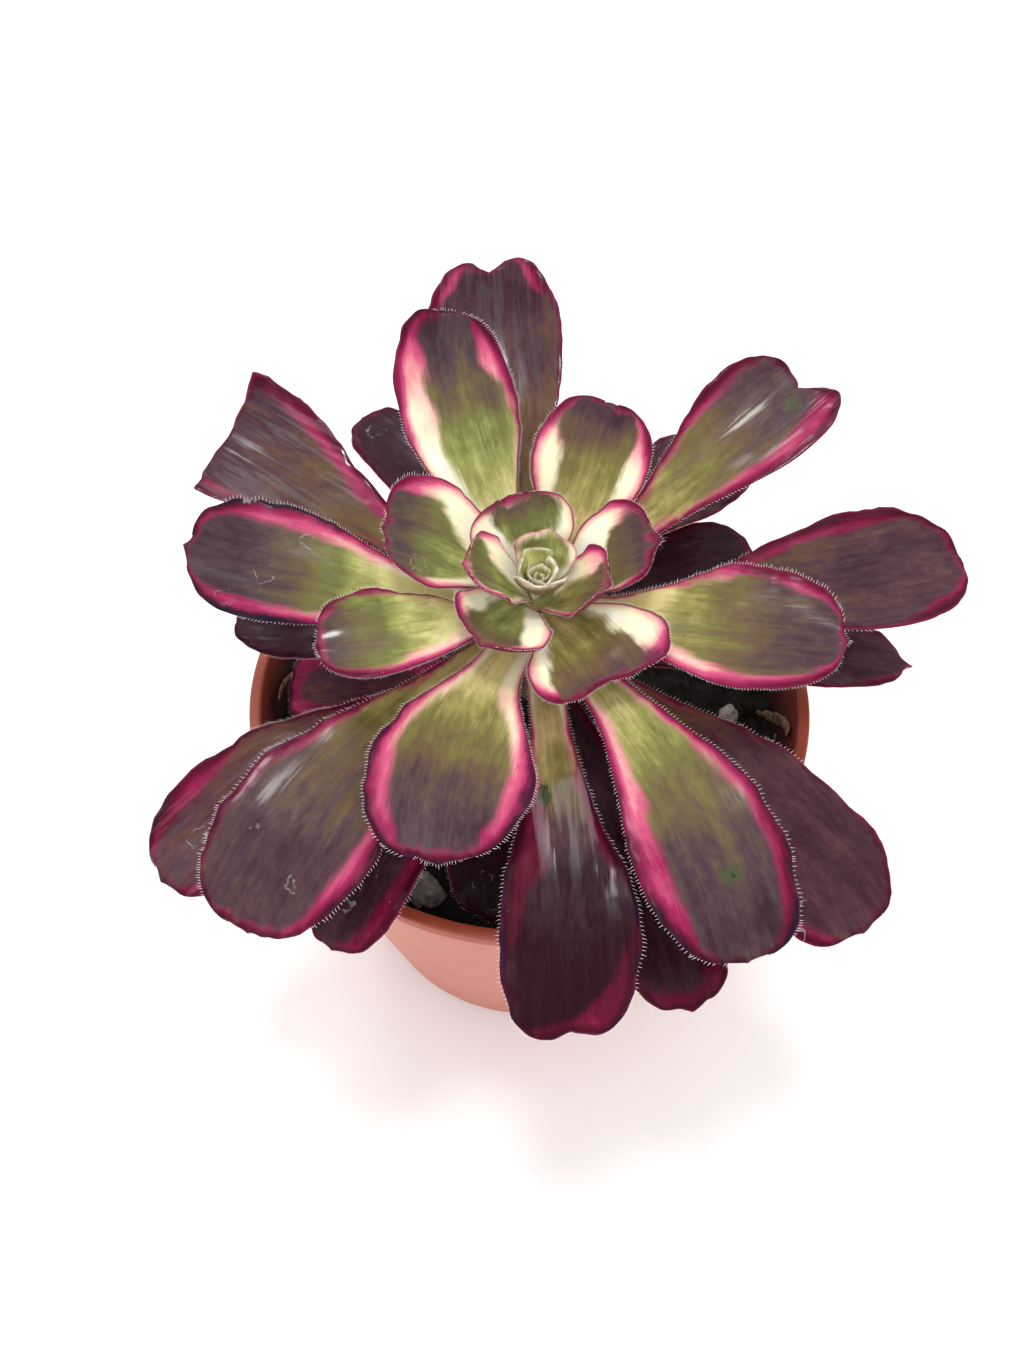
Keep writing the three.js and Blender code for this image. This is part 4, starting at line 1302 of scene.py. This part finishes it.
class AEONIUM_OT_stones(bpy.types.Operator):
    """Model the stone and the perlite grains that lie on the soil"""

    bl_idname = "aeonium.stones"
    bl_label = "Stones"

    def execute(self, context):
        looks = {name: stony_material(name) for name in ("grey_stone", "perlite")}
        for node, size, (x, y), seed, slot, look in STONES:
            centre = (x, y, soil_height(x, y) + size[2] / 2 + 0.1)
            finished(f"{node}_rough", pebble(size, centre, seed, 5), looks[look], [node])
        return {"FINISHED"}


# ------------------------------------------------------------------ stage

FLOOR_REACH = 6
PAPER_SHADE = (0.8, 0.8, 0.8, 1)

# Each soft light: its place, its width and its power. All of them point at LIGHT_AIM.
SOFT_LIGHTS = [
    ("overhead", (-0.12, 0.02, 2.3), 0.34, 11),
    ("window", (-0.55, 1, 2), 0.4, 4),
]
LIGHT_AIM = Vector((0, 0, 0.11))


def add_floor(colour):
    bm = bmesh.new()
    bmesh.ops.create_grid(bm, x_segments=1, y_segments=1, size=FLOOR_REACH)
    material, tree, shader = new_material("floor_paper", Roughness=0.9)
    paper = product(tree, noise_of(tree, object_place(tree), 40, 3), 0.03)
    feed(tree, shader, Base_Color=blend_colours(tree, paper, colour, PAPER_SHADE))
    floor = placed("floor", mesh_from("floor", bm))
    floor.data.materials.append(material)


def pale_world(strength):
    world = bpy.data.worlds.new("pale_studio")
    world.use_nodes = True
    sky = world.node_tree.nodes["Background"]
    sky.inputs["Color"].default_value = (1, 1, 1, 1)
    sky.inputs["Strength"].default_value = strength
    return world


def add_light(name, place, size, power):
    light = bpy.data.lights.new(name, "AREA")
    light.shape, light.size, light.energy = "DISK", size, power
    holder = placed(name, light)
    holder.location = place
    holder.rotation_euler = (LIGHT_AIM - holder.location).to_track_quat("-Z", "Y").to_euler()


def add_camera(stage):
    camera = placed("camera", bpy.data.cameras.new("camera"))
    camera.data.lens = stage.lens
    camera.data.clip_start = 0.01
    camera.location = stage.camera_place
    camera.rotation_euler = (math.pi / 2 - stage.elevation, 0, 0)
    return camera


class AEONIUM_OT_stage(bpy.types.Operator):
    """Set up the floor, the lights and the camera"""

    bl_idname = "aeonium.stage"
    bl_label = "Stage"

    def execute(self, context):
        scene = context.scene
        stage = scene.aeonium_stage
        add_floor(stage.floor)
        scene.world = pale_world(stage.fill)
        for light in SOFT_LIGHTS:
            add_light(*light)
        scene.camera = add_camera(stage)
        scene.view_settings.view_transform = "Standard"
        return {"FINISHED"}


# ------------------------------------------------------------------ panel and registration


STEPS = ("stage", "pot", "soil", "stones", "stem", "leaves", "bud", "hairs")
SETTINGS = {
    "aeonium_plant": AeoniumPlantSettings,
    "aeonium_pot": AeoniumPotSettings,
    "aeonium_stage": AeoniumStageSettings,
}


class AEONIUM_PT_panel(bpy.types.Panel):
    """Lists the steps that dress the plant"""

    bl_label = "Potted Aeonium"
    bl_idname = "AEONIUM_PT_panel"
    bl_space_type = "VIEW_3D"
    bl_region_type = "UI"
    bl_category = "Aeonium"

    def draw(self, context):
        for step in STEPS:
            self.layout.operator(f"aeonium.{step}")
        for name, settings in SETTINGS.items():
            box = self.layout.box()
            for key in settings.__annotations__:
                box.prop(getattr(context.scene, name), key)


CLASSES = (
    *SETTINGS.values(),
    AEONIUM_OT_stage,
    AEONIUM_OT_pot,
    AEONIUM_OT_soil,
    AEONIUM_OT_stones,
    AEONIUM_OT_stem,
    AEONIUM_OT_leaves,
    AEONIUM_OT_bud,
    AEONIUM_OT_hairs,
    AEONIUM_PT_panel,
)


def register():
    for cls in CLASSES:
        bpy.utils.register_class(cls)
    for name, settings in SETTINGS.items():
        setattr(bpy.types.Scene, name, PointerProperty(type=settings))


def unregister():
    for name in SETTINGS:
        delattr(bpy.types.Scene, name)
    for cls in reversed(CLASSES):
        bpy.utils.unregister_class(cls)


def main():
    register()
    for step in STEPS:
        getattr(bpy.ops.aeonium, step)()


if __name__ == "__main__":
    main()
